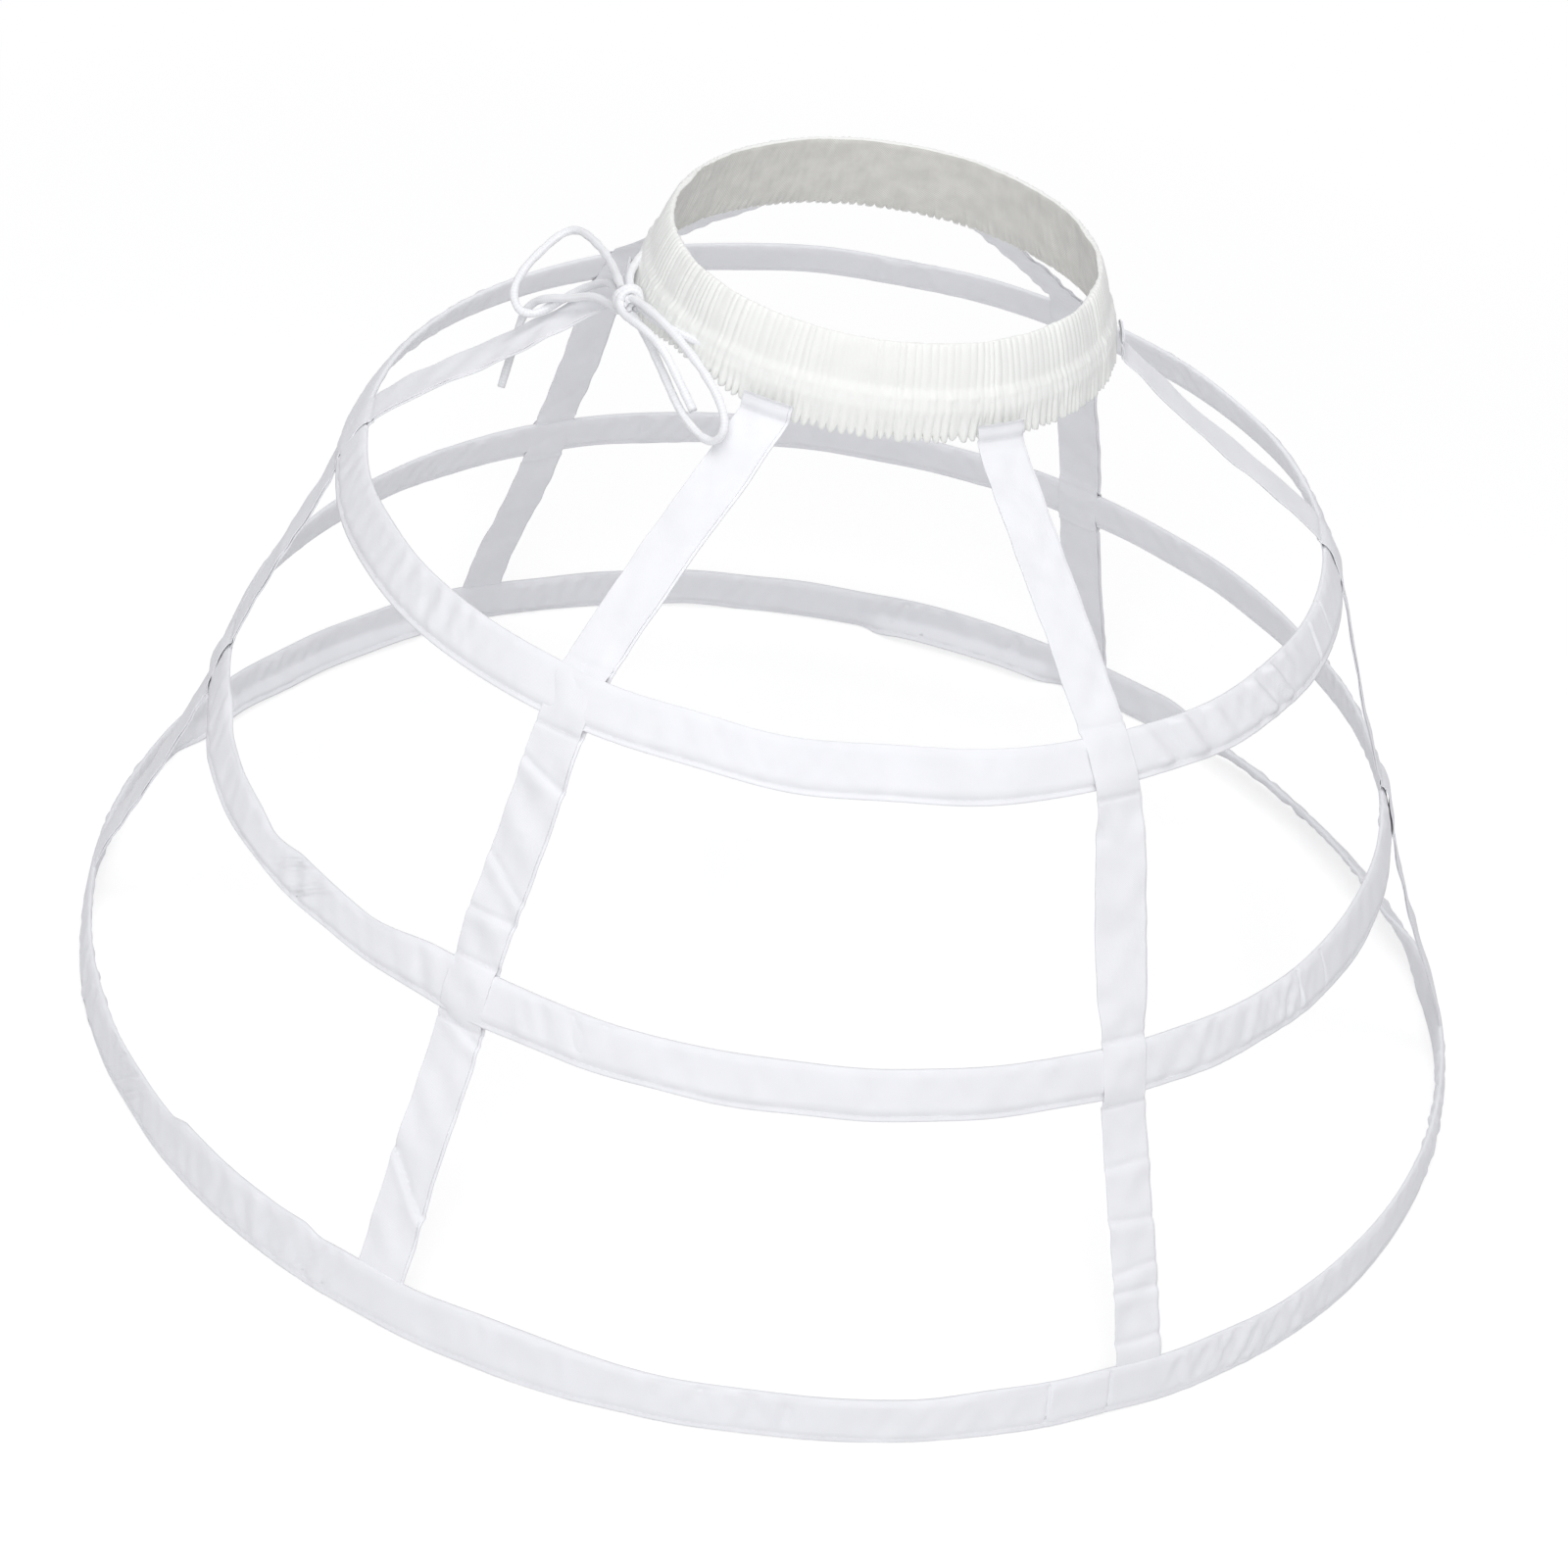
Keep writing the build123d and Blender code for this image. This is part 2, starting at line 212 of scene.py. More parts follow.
@dataclass(frozen=True)
class Cloth:
    """Woven cloth: its colour, its threads and the soft unevenness of its surface, on the piece's UV map."""

    name: str
    slot: str
    colour: Colour
    thread_pitch: float
    thread_depth: float
    mottle_share: float = 0.07
    weave_shade: float = 0.07
    crumple_pitch: float = 0.011
    crumple_depth: float = 0.0004
    slub_threads: float = 6.0
    slub_share: float = 0.7
    mottle_waves: float = 0.6
    mottle_start: float = 0.34
    mottle_gain: float = 3.0
    bump_strength: float = 0.55
    roughness: float = 0.82
    roughness_spread: float = 0.12
    sheen: float = 0.25
    sheen_roughness: float = 0.6
    gloss: float = 0.2

    def build(self) -> bpy.types.Material:
        """Makes the material.

        Returns:
            The material.
        """
        material = bpy.data.materials.new(self.name)
        tree = ShaderTree(material)
        place, along, across = tree.on_cloth()
        turns = FULL_TURN / self.thread_pitch
        weave = (along * turns).sine() * (across * turns).sine()
        slub = tree.noise(place, 1.0 / (self.thread_pitch * self.slub_threads), 1.0)
        crumple = tree.noise(place, 1.0 / self.crumple_pitch, 3.0)
        mottle = tree.noise(place, self.mottle_waves / self.crumple_pitch, 2.0)
        patch = (mottle - self.mottle_start) * self.mottle_gain
        colour = tree.mix(patch, rgba(self.colour), shaded(self.colour, self.mottle_share))
        # Painted shade: the cloth is made darker in the low places of its weave, where the threads dip.
        colour = tree.mix(0.5 - weave * 0.5, colour, shaded(self.colour, self.weave_shade))
        threads = (weave * 0.5 + slub * self.slub_share) * self.thread_depth
        tree.cover({
            "Base Color": colour,
            "Roughness": self.roughness - self.roughness_spread / 2.0 + slub * self.roughness_spread,
            "Sheen Weight": self.sheen,
            "Sheen Roughness": self.sheen_roughness,
            "Specular IOR Level": self.gloss,
            "Normal": tree.bump(threads + crumple * self.crumple_depth, self.bump_strength),
        })
        return material


@dataclass(frozen=True)
class Braid:
    """Braided cotton cord: slanting strands that cross, on the piece's UV map, in metres and turns."""

    name: str
    slot: str
    colour: Colour
    strand_pitch: float
    strand_depth: float
    strands: int = 6
    valley_shade_share: float = 0.09
    bump_strength: float = 0.6
    roughness: float = 0.8
    roughness_spread: float = 0.06
    sheen: float = 0.2
    gloss: float = 0.2

    def build(self) -> bpy.types.Material:
        """Makes the material.

        Returns:
            The material.
        """
        material = bpy.data.materials.new(self.name)
        tree = ShaderTree(material)
        _, far, turn = tree.on_cloth()
        along = far * (FULL_TURN / self.strand_pitch)
        round_it = turn * (FULL_TURN * self.strands / 2.0)
        height = (along + round_it).sine() * (along - round_it).sine()
        # Painted shade: the cord is made darker in the valleys between its strands.
        valley = shaded(self.colour, self.valley_shade_share)
        tree.cover({
            "Base Color": tree.mix(0.5 - height * 0.5, rgba(self.colour), valley),
            "Roughness": self.roughness - height * self.roughness_spread,
            "Sheen Weight": self.sheen,
            "Specular IOR Level": self.gloss,
            "Normal": tree.bump(height * self.strand_depth, self.bump_strength),
        })
        return material


@dataclass(frozen=True)
class Strip:
    """Metal or web strip inside a casing or tunnel, with fine lines along it, on Object coordinates."""

    name: str
    colour: Colour
    metallic: float
    roughness: float
    grain: float
    line_scale: Point = (0.04, 0.04, 1.0)
    streak_share: float = 0.2
    roughness_drop: float = 0.07
    roughness_spread: float = 0.15

    def build(self) -> bpy.types.Material:
        """Makes the material.

        Returns:
            The material.
        """
        material = bpy.data.materials.new(self.name)
        tree = ShaderTree(material)
        place = tree.node("ShaderNodeTexCoord", None, None, "Object")
        lines = tree.node("ShaderNodeMapping", None, {"Vector": place, "Scale": self.line_scale})
        streak = tree.noise(lines, 1.0 / self.grain, 3.0)
        tree.cover({
            "Base Color": tree.mix(streak, rgba(self.colour), shaded(self.colour, self.streak_share)),
            "Roughness": self.roughness - self.roughness_drop + streak * self.roughness_spread,
            "Metallic": self.metallic,
        })
        return material


@dataclass(frozen=True)
class Ripple:
    """Smooth random wave: waves of random length in a band, with random starts, about 1 high."""

    shortest: float
    longest: float
    seed: int
    waves: int = 9
    slant: float = 0.0

    def at(self, along: np.ndarray, across: Union[np.ndarray, float] = 0.0, loop: Optional[float] = None,
           piece_seed: int = 0) -> np.ndarray:
        """Height of the wave.

        Args:
            along: Distance along the piece.
            across: Distance across it, which slants the waves.
            loop: The length after which the piece meets itself, where it is a ring.
            piece_seed: The piece's own seed, added to the wave's.

        Returns:
            The height at each place.
        """
        draw = np.random.default_rng(self.seed + piece_seed)
        lengths = draw.uniform(self.shortest, self.longest, self.waves)
        starts = draw.uniform(0.0, FULL_TURN, self.waves)
        slants = self.slant * draw.uniform(-1.0, 1.0, self.waves)
        total = 0.0
        for length, start, slant in zip(lengths, starts, slants):
            turns = FULL_TURN / length if loop is None else FULL_TURN * round(loop / length) / loop
            total = total + np.sin(turns * (along + slant * across) + start)
        return total * math.sqrt(2.0 / self.waves)


def step_between(low: float, high: float, value: np.ndarray) -> np.ndarray:
    """Smooth step from 0 at low to 1 at high."""
    share = np.clip((value - low) / (high - low), 0.0, 1.0)
    return share * share * (3.0 - 2.0 * share)


def hump(value: np.ndarray, centre: float, spread: float) -> np.ndarray:
    """Smooth hump that is 1 at its centre."""
    return np.exp(-(((value - centre) / spread) ** 2))


def turned(angle: np.ndarray, centre_deg: float) -> np.ndarray:
    """Angle from a centre, in radians, taken the short way round."""
    return (angle - math.radians(centre_deg) + math.pi) % FULL_TURN - math.pi


def upright(angle: np.ndarray, radius: np.ndarray, height: np.ndarray) -> np.ndarray:
    """Points round the upright axis, by azimuth, radius and height."""
    return np.stack([radius * np.cos(angle), radius * np.sin(angle), height], axis=-1)


class Skin:
    """Collects the patches of one piece and makes them into a mesh."""

    def __init__(self) -> None:
        """Starts with no patch."""
        self.points: list[np.ndarray] = []
        self.faces: list[list[int]] = []
        self.uvs: list[np.ndarray] = []
        self.materials: list[int] = []
        self.count = 0

    def tube(self, points: np.ndarray, along: np.ndarray, across: np.ndarray, ring: bool,
             inner: bool = False, material: Union[int, np.ndarray] = 0) -> None:
        """Adds a closed tube: a row of sections, each a closed outline.

        Args:
            points: Points by section and by place in the outline.
            along: UV distance along, one more than the sections of a ring.
            across: UV distance round the outline, one more than its points.
            ring: Whether the last section meets the first; otherwise both ends are capped.
            inner: Whether its faces point into it, as a lining's do.
            material: Material number, one for all or one for each place in the outline.
        """
        rows, width = points.shape[:2]
        spans = rows if ring else rows - 1
        grids = np.meshgrid(np.arange(spans), np.arange(width), indexing="ij")
        row, place = (grid.ravel() for grid in grids)
        corners = ((row, place), (row + 1, place), (row + 1, place + 1), (row, place + 1))
        quads = np.stack([(far % rows) * width + side % width for far, side in corners], axis=1)
        uv = np.stack([np.stack([along[far], across[side]], axis=1) for far, side in corners], axis=1)
        by_place = np.broadcast_to(np.asarray(material), (width,))
        kinds = by_place[place]
        if not ring:
            half = np.arange(width // 2 - 1)
            for end in (0, rows - 1):
                cap = np.stack([half, half + 1, width - 2 - half, width - 1 - half], axis=1)
                cap = cap if end else cap[:, ::-1]
                quads = np.vstack([quads, cap + end * width])
                cap_uv = np.stack([np.full(cap.shape, along[end]), across[cap]], axis=2)
                uv = np.concatenate([uv, cap_uv])
                kinds = np.concatenate([kinds, by_place[half]])
        flat = points.reshape(-1, 3)
        first, second, third, fourth = (flat[quads[:, corner]] for corner in range(4))
        volume = np.einsum("ij,ij->", first, np.cross(second, third) + np.cross(third, fourth))
        if (volume < 0.0) != inner:
            quads, uv = quads[:, ::-1], uv[:, ::-1]
        self.points.append(flat)
        self.faces.extend((quads + self.count).tolist())
        self.uvs.append(uv.reshape(-1, 2))
        self.materials.extend(kinds.tolist())
        self.count += len(flat)

    def build(self, name: str, materials: Sequence[bpy.types.Material]) -> bpy.types.Object:
        """Makes the piece.

        Args:
            name: The piece's name.
            materials: Its materials, in the order of their numbers.

        Returns:
            The object, at the origin.
        """
        mesh = bpy.data.meshes.new(name)
        mesh.from_pydata(np.vstack(self.points).tolist(), [], self.faces)
        layer = mesh.uv_layers.new(name=UV_NAME)
        layer.data.foreach_set("uv", np.vstack(self.uvs).astype(np.float32).ravel())
        mesh.polygons.foreach_set("material_index", self.materials)
        mesh.polygons.foreach_set("use_smooth", [True] * len(mesh.polygons))
        for material in materials:
            mesh.materials.append(material)
        mesh.update()
        return placed(name, mesh)


def placed(name: str, data: bpy.types.ID) -> bpy.types.Object:
    """Adds an object at the origin.

    Args:
        name: Its name.
        data: Its mesh, curve, lamp or camera.

    Returns:
        The object.
    """
    made = bpy.data.objects.new(name, data)
    bpy.context.scene.collection.objects.link(made)
    return made


def mesh_of(holder: bpy.types.Object) -> bpy.types.Mesh:
    """Makes a plain mesh of what an object shows, and deletes the object.

    Args:
        holder: The object, with a curve or with modifiers.

    Returns:
        The mesh.
    """
    bpy.context.view_layer.update()
    graph = bpy.context.evaluated_depsgraph_get()
    mesh = bpy.data.meshes.new_from_object(holder.evaluated_get(graph))
    bpy.data.objects.remove(holder)
    return mesh


def lengths_of(points: np.ndarray) -> np.ndarray:
    """Distance along a line of points to each of them."""
    return np.concatenate([[0.0], np.cumsum(np.linalg.norm(np.diff(points, axis=0), axis=1))])


def tidy_line(corners: Sequence[Sequence[float]], pitch: float, soften: float, passes: int = 3) -> np.ndarray:
    """Evenly spaced points along corners, with the corners softened.

    Args:
        corners: The corners.
        pitch: Distance between the points.
        soften: Length that a bend is spread over.
        passes: How often the line is smoothed.

    Returns:
        The points.
    """
    line = np.array(corners, float)
    far = lengths_of(line)
    count = max(3, int(round(far[-1] / pitch)) + 1)
    places = np.linspace(0.0, far[-1], count)
    even = np.stack([np.interp(places, far, column) for column in line.T], axis=1)
    reach = max(1, int(round(soften / pitch / 2.0)))
    kernel = np.ones(2 * reach + 1) / (2 * reach + 1)
    for _ in range(passes):
        padded = np.vstack([np.repeat(even[:1], reach, 0), even, np.repeat(even[-1:], reach, 0)])
        even = np.stack([np.convolve(column, kernel, "valid") for column in padded.T], axis=1)
    return even


@dataclass(frozen=True)
class Pucker:
    """A stretch of a casing where the cloth is bunched: its middle, its reach and its waves."""

    azimuth: float
    spread: float
    height: float
    slant: float = 0.5
    shortest: float = 0.005
    longest: float = 0.014
    valley: float = -2.0
    waves: int = 7
    seed: int = 50

    def at(self, far: np.ndarray, along: np.ndarray, piece_seed: int) -> np.ndarray:
        """Height of the bunched cloth.

        Args:
            far: Distance round the hoop from the middle of the stretch.
            along: Distance down the casing.
            piece_seed: The casing's seed.

        Returns:
            The height, which goes no lower than the valleys.
        """
        waves = Ripple(self.shortest, self.longest, self.seed, self.waves)
        wave = waves.at(far + self.slant * along, piece_seed=piece_seed)
        return self.height * np.maximum(wave, self.valley) * hump(far, 0.0, self.spread)


@dataclass(frozen=True)
class Stretch:
    """A stretch of a piece where its form changes: its start and end, how far it eases, and the amount."""

    start: float
    end: float
    ease: float
    amount: float

    def at(self, place: np.ndarray) -> np.ndarray:
        """Amount at a place along the piece."""
        off = np.abs(place - (self.start + self.end) / 2.0) - (self.end - self.start) / 2.0
        return self.amount * (1.0 - step_between(0.0, self.ease, off))


@dataclass
class Casing:
    """A hoop's flat cloth tube: a fold at its upper edge, a stitched seam along its lower edge."""

    node: str
    radius: float
    height: float
    lean: float
    join_azimuth: float
    join_length: float
    seed: int
    puckers: tuple[Pucker, ...] = ()
    twists: tuple[Stretch, ...] = ()
    pinches: tuple[Stretch, ...] = ()
    splays: tuple[Stretch, ...] = ()
    # Azimuths of the straps, which hold the cloth flat where they cross it.
    crossings: tuple[float, ...] = (4.0, 64.0, 124.0, 184.0, 244.0, 304.0)
    crossing_spread: float = 0.013
    crossing_grip: float = 0.35
    width: float = 0.021
    body_half: float = 0.0016
    lip_half: float = 0.00062
    thinnest_half: float = 0.0004
    fold_overrun: float = 0.0002
    fold_reach: float = 0.0035
    fold_hold: float = 0.002
    seam: float = 0.0085
    seam_reach: float = 0.0028
    seam_hold: float = 0.002
    seam_hold_share: float = 0.85
    seam_groove: float = 0.00022
    groove_spread: float = 0.0007
    groove_step: float = 0.0009
    stitch_step: float = 0.003
    lining: float = 0.0007
    lining_half: float = 0.0001
    lining_inset: float = 0.0008
    lining_rise: float = 0.0012
    lining_columns: int = 7
    lining_step: int = 4
    pitch: float = 0.0016
    columns: int = 19
    edge_wander: float = 0.0004
    edge_waves: Ripple = Ripple(0.05, 0.25, 30)
    breadth_share: float = 0.015
    breadth_waves: Ripple = Ripple(0.05, 0.25, 40)
    crumple: float = 0.0005
    slow_share: float = 0.45
    slow_folds: Ripple = Ripple(0.04, 0.16, 0, slant=1.2)
    fine_share: float = 0.75
    fine_folds: Ripple = Ripple(0.007, 0.02, 10, 14, 0.9)
    calm_share: float = 0.35
    patches: Ripple = Ripple(0.08, 0.3, 20)
    patch_range: tuple[float, float] = (-0.4, 1.4)
    join_rise: float = 0.0004
    join_ease: float = 0.0006
    join_groove: float = 0.0009
    join_groove_spread: float = 0.0007
    # First and last distance from an edge of the join, and how many sections lie there.
    join_rows: tuple[float, float, int] = (-0.001, 0.0022, 9)
    splay_start: float = 0.0005
    boning_width: float = 0.012
    boning_half: float = 0.0004
    boning_rows: int = 720
    boning_columns: int = 5

    @property
    def girth(self) -> float:
        """Length of the hoop at its middle."""
        return FULL_TURN * self.radius

    @property
    def boning_node(self) -> str:
        """Name of the boning inside it."""
        return self.node.replace("casing", "boning")

    def section(self, along: np.ndarray, out: np.ndarray, turn: Union[np.ndarray, float] = 0.0) -> np.ndarray:
        """Points of the casing in the upright section.

        Args:
            along: Distance down the casing from its middle.
            out: Distance outwards from its middle.
            turn: Angle that the hoop is turned by there.

        Returns:
            Points by radius and height.
        """
        lean = math.radians(self.lean) + turn
        radius = self.radius + along * np.sin(lean) + out * np.cos(lean)
        height = self.height - along * np.cos(lean) + out * np.sin(lean)
        return np.stack([radius, np.maximum(height, 0.0)], axis=-1)

    def place(self, angle: np.ndarray, along: np.ndarray, out: np.ndarray) -> np.ndarray:
        """Points of the casing, twisted and splayed where it is.

        Args:
            angle: Azimuth.
            along: Distance down the casing from its middle.
            out: Distance outwards from its middle.

        Returns:
            The points.
        """
        splay = self.change(self.splays, angle)
        turn = np.radians(self.change(self.twists, angle))
        bent = np.maximum(along - self.splay_start, 0.0)
        shorter = bent / np.sqrt(1.0 + splay ** 2)
        flat = self.section(along - bent + shorter, out - splay * shorter, turn)
        return upright(angle, flat[..., 0], flat[..., 1])

    def change(self, stretches: Sequence[Stretch], angle: np.ndarray) -> np.ndarray:
        """Amount that stretches, given in degrees of azimuth, add up to at an azimuth in radians."""
        around = np.degrees(angle) % 360.0
        return sum((stretch.at(around) for stretch in stretches), np.zeros_like(angle))

    def drawn_in(self, angle: np.ndarray, along: np.ndarray, breadth: Union[np.ndarray, float]) -> np.ndarray:
        """Distance down the casing where it is wider or narrower, with its lower edge kept in place.

        Args:
            angle: Azimuth.
            along: Distance down the casing at its own width.
            breadth: Share of that width before it is pinched.

        Returns:
            The distance.
        """
        pinch = self.change(self.pinches, angle)
        return along * (breadth - pinch) + pinch * self.width / 2.0

    def half_thickness(self, along: np.ndarray) -> np.ndarray:
        """Half of the casing's thickness.

        Args:
            along: Distance down the casing.

        Returns:
            The distance from its middle to its surface.
        """
        edge = -self.width / 2.0
        upper = step_between(edge - self.fold_overrun, edge + self.fold_reach, along)
        lower = 1.0 - step_between(self.seam - self.seam_reach, self.seam, along)
        body = self.lip_half + (self.body_half - self.lip_half) * np.sqrt(upper) * lower
        return body - self.seam_groove * hump(along, self.seam, self.groove_spread)

    def unevenness(self, angle: np.ndarray, along: np.ndarray, face: Face) -> np.ndarray:
        """How far the cloth stands out from its smooth shape.

        Args:
            angle: Azimuth.
            along: Distance down the casing.
            face: Which side of it.

        Returns:
            The distance, outwards from the middle of the casing.
        """
        far = angle * self.radius
        seed = self.seed + (face is Face.INSIDE)
        slow = self.slow_folds.at(far, along, self.girth, seed)
        fine = self.fine_folds.at(far, along, self.girth, seed)
        patch = step_between(*self.patch_range, self.patches.at(far, 0.0, self.girth, self.seed))
        patch = self.calm_share + (1.0 - self.calm_share) * patch
        rise = self.crumple * (self.slow_share * slow + self.fine_share * patch * fine)
        for number, pucker in enumerate(self.puckers):
            local = turned(angle, pucker.azimuth) * self.radius
            rise = rise + pucker.at(local, along, self.seed + number)
        for crossing in self.crossings:
            near = hump(turned(angle, crossing) * self.radius, 0.0, self.crossing_spread)
            rise = rise * (1.0 - step_between(0.0, self.crossing_grip, near))
        lap = np.abs(turned(angle, self.join_azimuth)) * self.radius - self.join_length / 2.0
        rise = rise + self.join_rise * (1.0 - step_between(-self.join_ease, self.join_ease, lap))
        rise = rise - self.join_groove * hump(lap, self.join_groove_spread, self.join_groove_spread)
        edge = -self.width / 2.0
        free = step_between(edge, edge + self.fold_hold, along)
        held = self.seam_hold_share * step_between(self.seam - self.seam_hold, self.seam, along)
        return rise * free * (1.0 - held)

    def surface(self, angle: np.ndarray, along: np.ndarray, face: Face) -> np.ndarray:
        """Points on one side of the casing.

        Args:
            angle: Azimuth.
            along: Distance down the casing.
            face: Which side of it.

        Returns:
            The points.
        """
        out = self.half_thickness(along) + self.unevenness(angle, along, face)
        far = angle * self.radius
        sag = self.edge_wander * self.edge_waves.at(far, 0.0, self.girth, self.seed)
        breadth = 1.0 + self.breadth_share * self.breadth_waves.at(far, 0.0, self.girth, self.seed)
        down = self.drawn_in(angle, along, breadth) + sag
        return self.place(angle, down, face.value * np.maximum(out, self.thinnest_half))

    def outline(self) -> np.ndarray:
        """Distances down the casing at which its sides have points.

        Returns:
            The distances, from the upper to the lower edge.
        """
        half = self.width / 2.0
        share = np.linspace(0.0, 1.0, self.columns)
        eased = np.sin(math.pi * (share - 0.5))
        even = 2.0 * share - 1.0
        groove = self.seam + self.groove_step * np.array([-1.0, 0.0, 1.0])
        return np.sort(np.concatenate([half * (eased + even) / 2.0, groove]))

    def azimuths(self) -> np.ndarray:
        """Azimuths at which the casing has points.

        Returns:
            The azimuths, closer together at the two edges of its join.
        """
        even = np.linspace(0.0, FULL_TURN, int(round(self.girth / self.pitch)), endpoint=False)
        near = np.linspace(*self.join_rows)
        edges = np.concatenate([self.join_length / 2.0 + near, -self.join_length / 2.0 - near])
        return np.sort(np.concatenate([even, math.radians(self.join_azimuth) + edges / self.radius]))

    def build(self, cloth: bpy.types.Material) -> bpy.types.Object:
        """Makes the casing, with its lining.

        Args:
            cloth: Its material.

        Returns:
            The piece.
        """
        angles = self.azimuths()[:, None]
        rows = len(angles)
        down = self.outline()
        spread = np.broadcast_to(down, (rows, len(down)))
        outside, inside = (self.surface(angles, spread, face) for face in Face)
        skin = Skin()
        section = np.concatenate([outside, inside[:, ::-1]], axis=1)
        along = np.append(angles * self.radius, self.girth)
        across = np.concatenate([down, 2.0 * down[-1] - down[::-1], [down[0] + 2.0 * self.width]])
        skin.tube(section, along, across, ring=True)
        self.add_lining(skin, rows // self.lining_step)
        return skin.build(self.node + "_cloth", [cloth])

    def add_lining(self, skin: Skin, rows: int) -> None:
        """Adds the walls of the channel that the boning lies in.

        Args:
            skin: The casing's skin.
            rows: How many sections the lining has.
        """
        angles = np.linspace(0.0, FULL_TURN, rows, endpoint=False)[:, None]
        upper, lower = self.lining_inset - self.width / 2.0, self.seam - self.lining_rise
        inner = np.linspace(upper, lower, self.lining_columns)
        half = np.maximum(self.half_thickness(inner) - self.lining, self.lining_half) * np.ones((rows, 1))
        down = self.drawn_in(angles, inner, 1.0)
        outside, inside = (self.place(angles, down, face.value * half) for face in Face)
        section = np.concatenate([outside, inside[:, ::-1]], axis=1)
        across = np.linspace(0.0, 2.0 * self.width, 2 * self.lining_columns + 1)
        skin.tube(section, np.linspace(0.0, self.girth, rows + 1), across, ring=True, inner=True)

    def build_boning(self, steel: bpy.types.Material) -> bpy.types.Object:
        """Makes the boning of a hoop that is twisted, so that it turns with its casing.

        Args:
            steel: Its material.

        Returns:
            The piece.
        """
        angles = np.linspace(0.0, FULL_TURN, self.boning_rows, endpoint=False)[:, None]
        down = self.boning_width / 2.0 * np.linspace(-1.0, 1.0, self.boning_columns)
        corners = np.concatenate([down, down[::-1]])
        sides = self.boning_half * np.repeat([1.0, -1.0], len(down)) * np.ones_like(angles)
        along = self.drawn_in(angles, np.zeros_like(angles), 1.0) + corners
        far = np.linspace(0.0, self.girth, len(angles) + 1)
        across = np.linspace(0.0, 2.0 * self.boning_width, len(corners) + 1)
        skin = Skin()
        skin.tube(self.place(angles, along, sides), far, across, ring=True)
        return skin.build(self.boning_node + "_strip", [steel])

    def seam_rows(self) -> list[np.ndarray]:
        """Lines that the seam's stitches follow on both sides.

        Returns:
            Closed rings of points.
        """
        angles = np.linspace(0.0, FULL_TURN, int(self.girth / self.stitch_step), endpoint=False)
        level = np.full_like(angles, self.seam)
        return [self.surface(angles, level, face) for face in Face]


@dataclass(frozen=True)
class Crease:
    """A sharp crease across a tape: its distance from the tape's upper end, its slant and its depth."""

    far: float
    slant: float
    depth: float = 0.0008
    valley_spread: float = 0.0013
    fold_share: float = 0.8
    fold_place: float = 0.004
    fold_spread: float = 0.0035

    def at(self, far: np.ndarray, across: np.ndarray) -> np.ndarray:
        """Height of the tape at the crease, a narrow valley beside a soft fold.

        Args:
            far: Distance from the tape's upper end.
            across: Distance across it.

        Returns:
            The height at each place.
        """
        local = far - self.far - self.slant * across
        fold = self.fold_share * hump(local, self.fold_place, self.fold_spread)
        return self.depth * (fold - hump(local, 0.0, self.valley_spread))


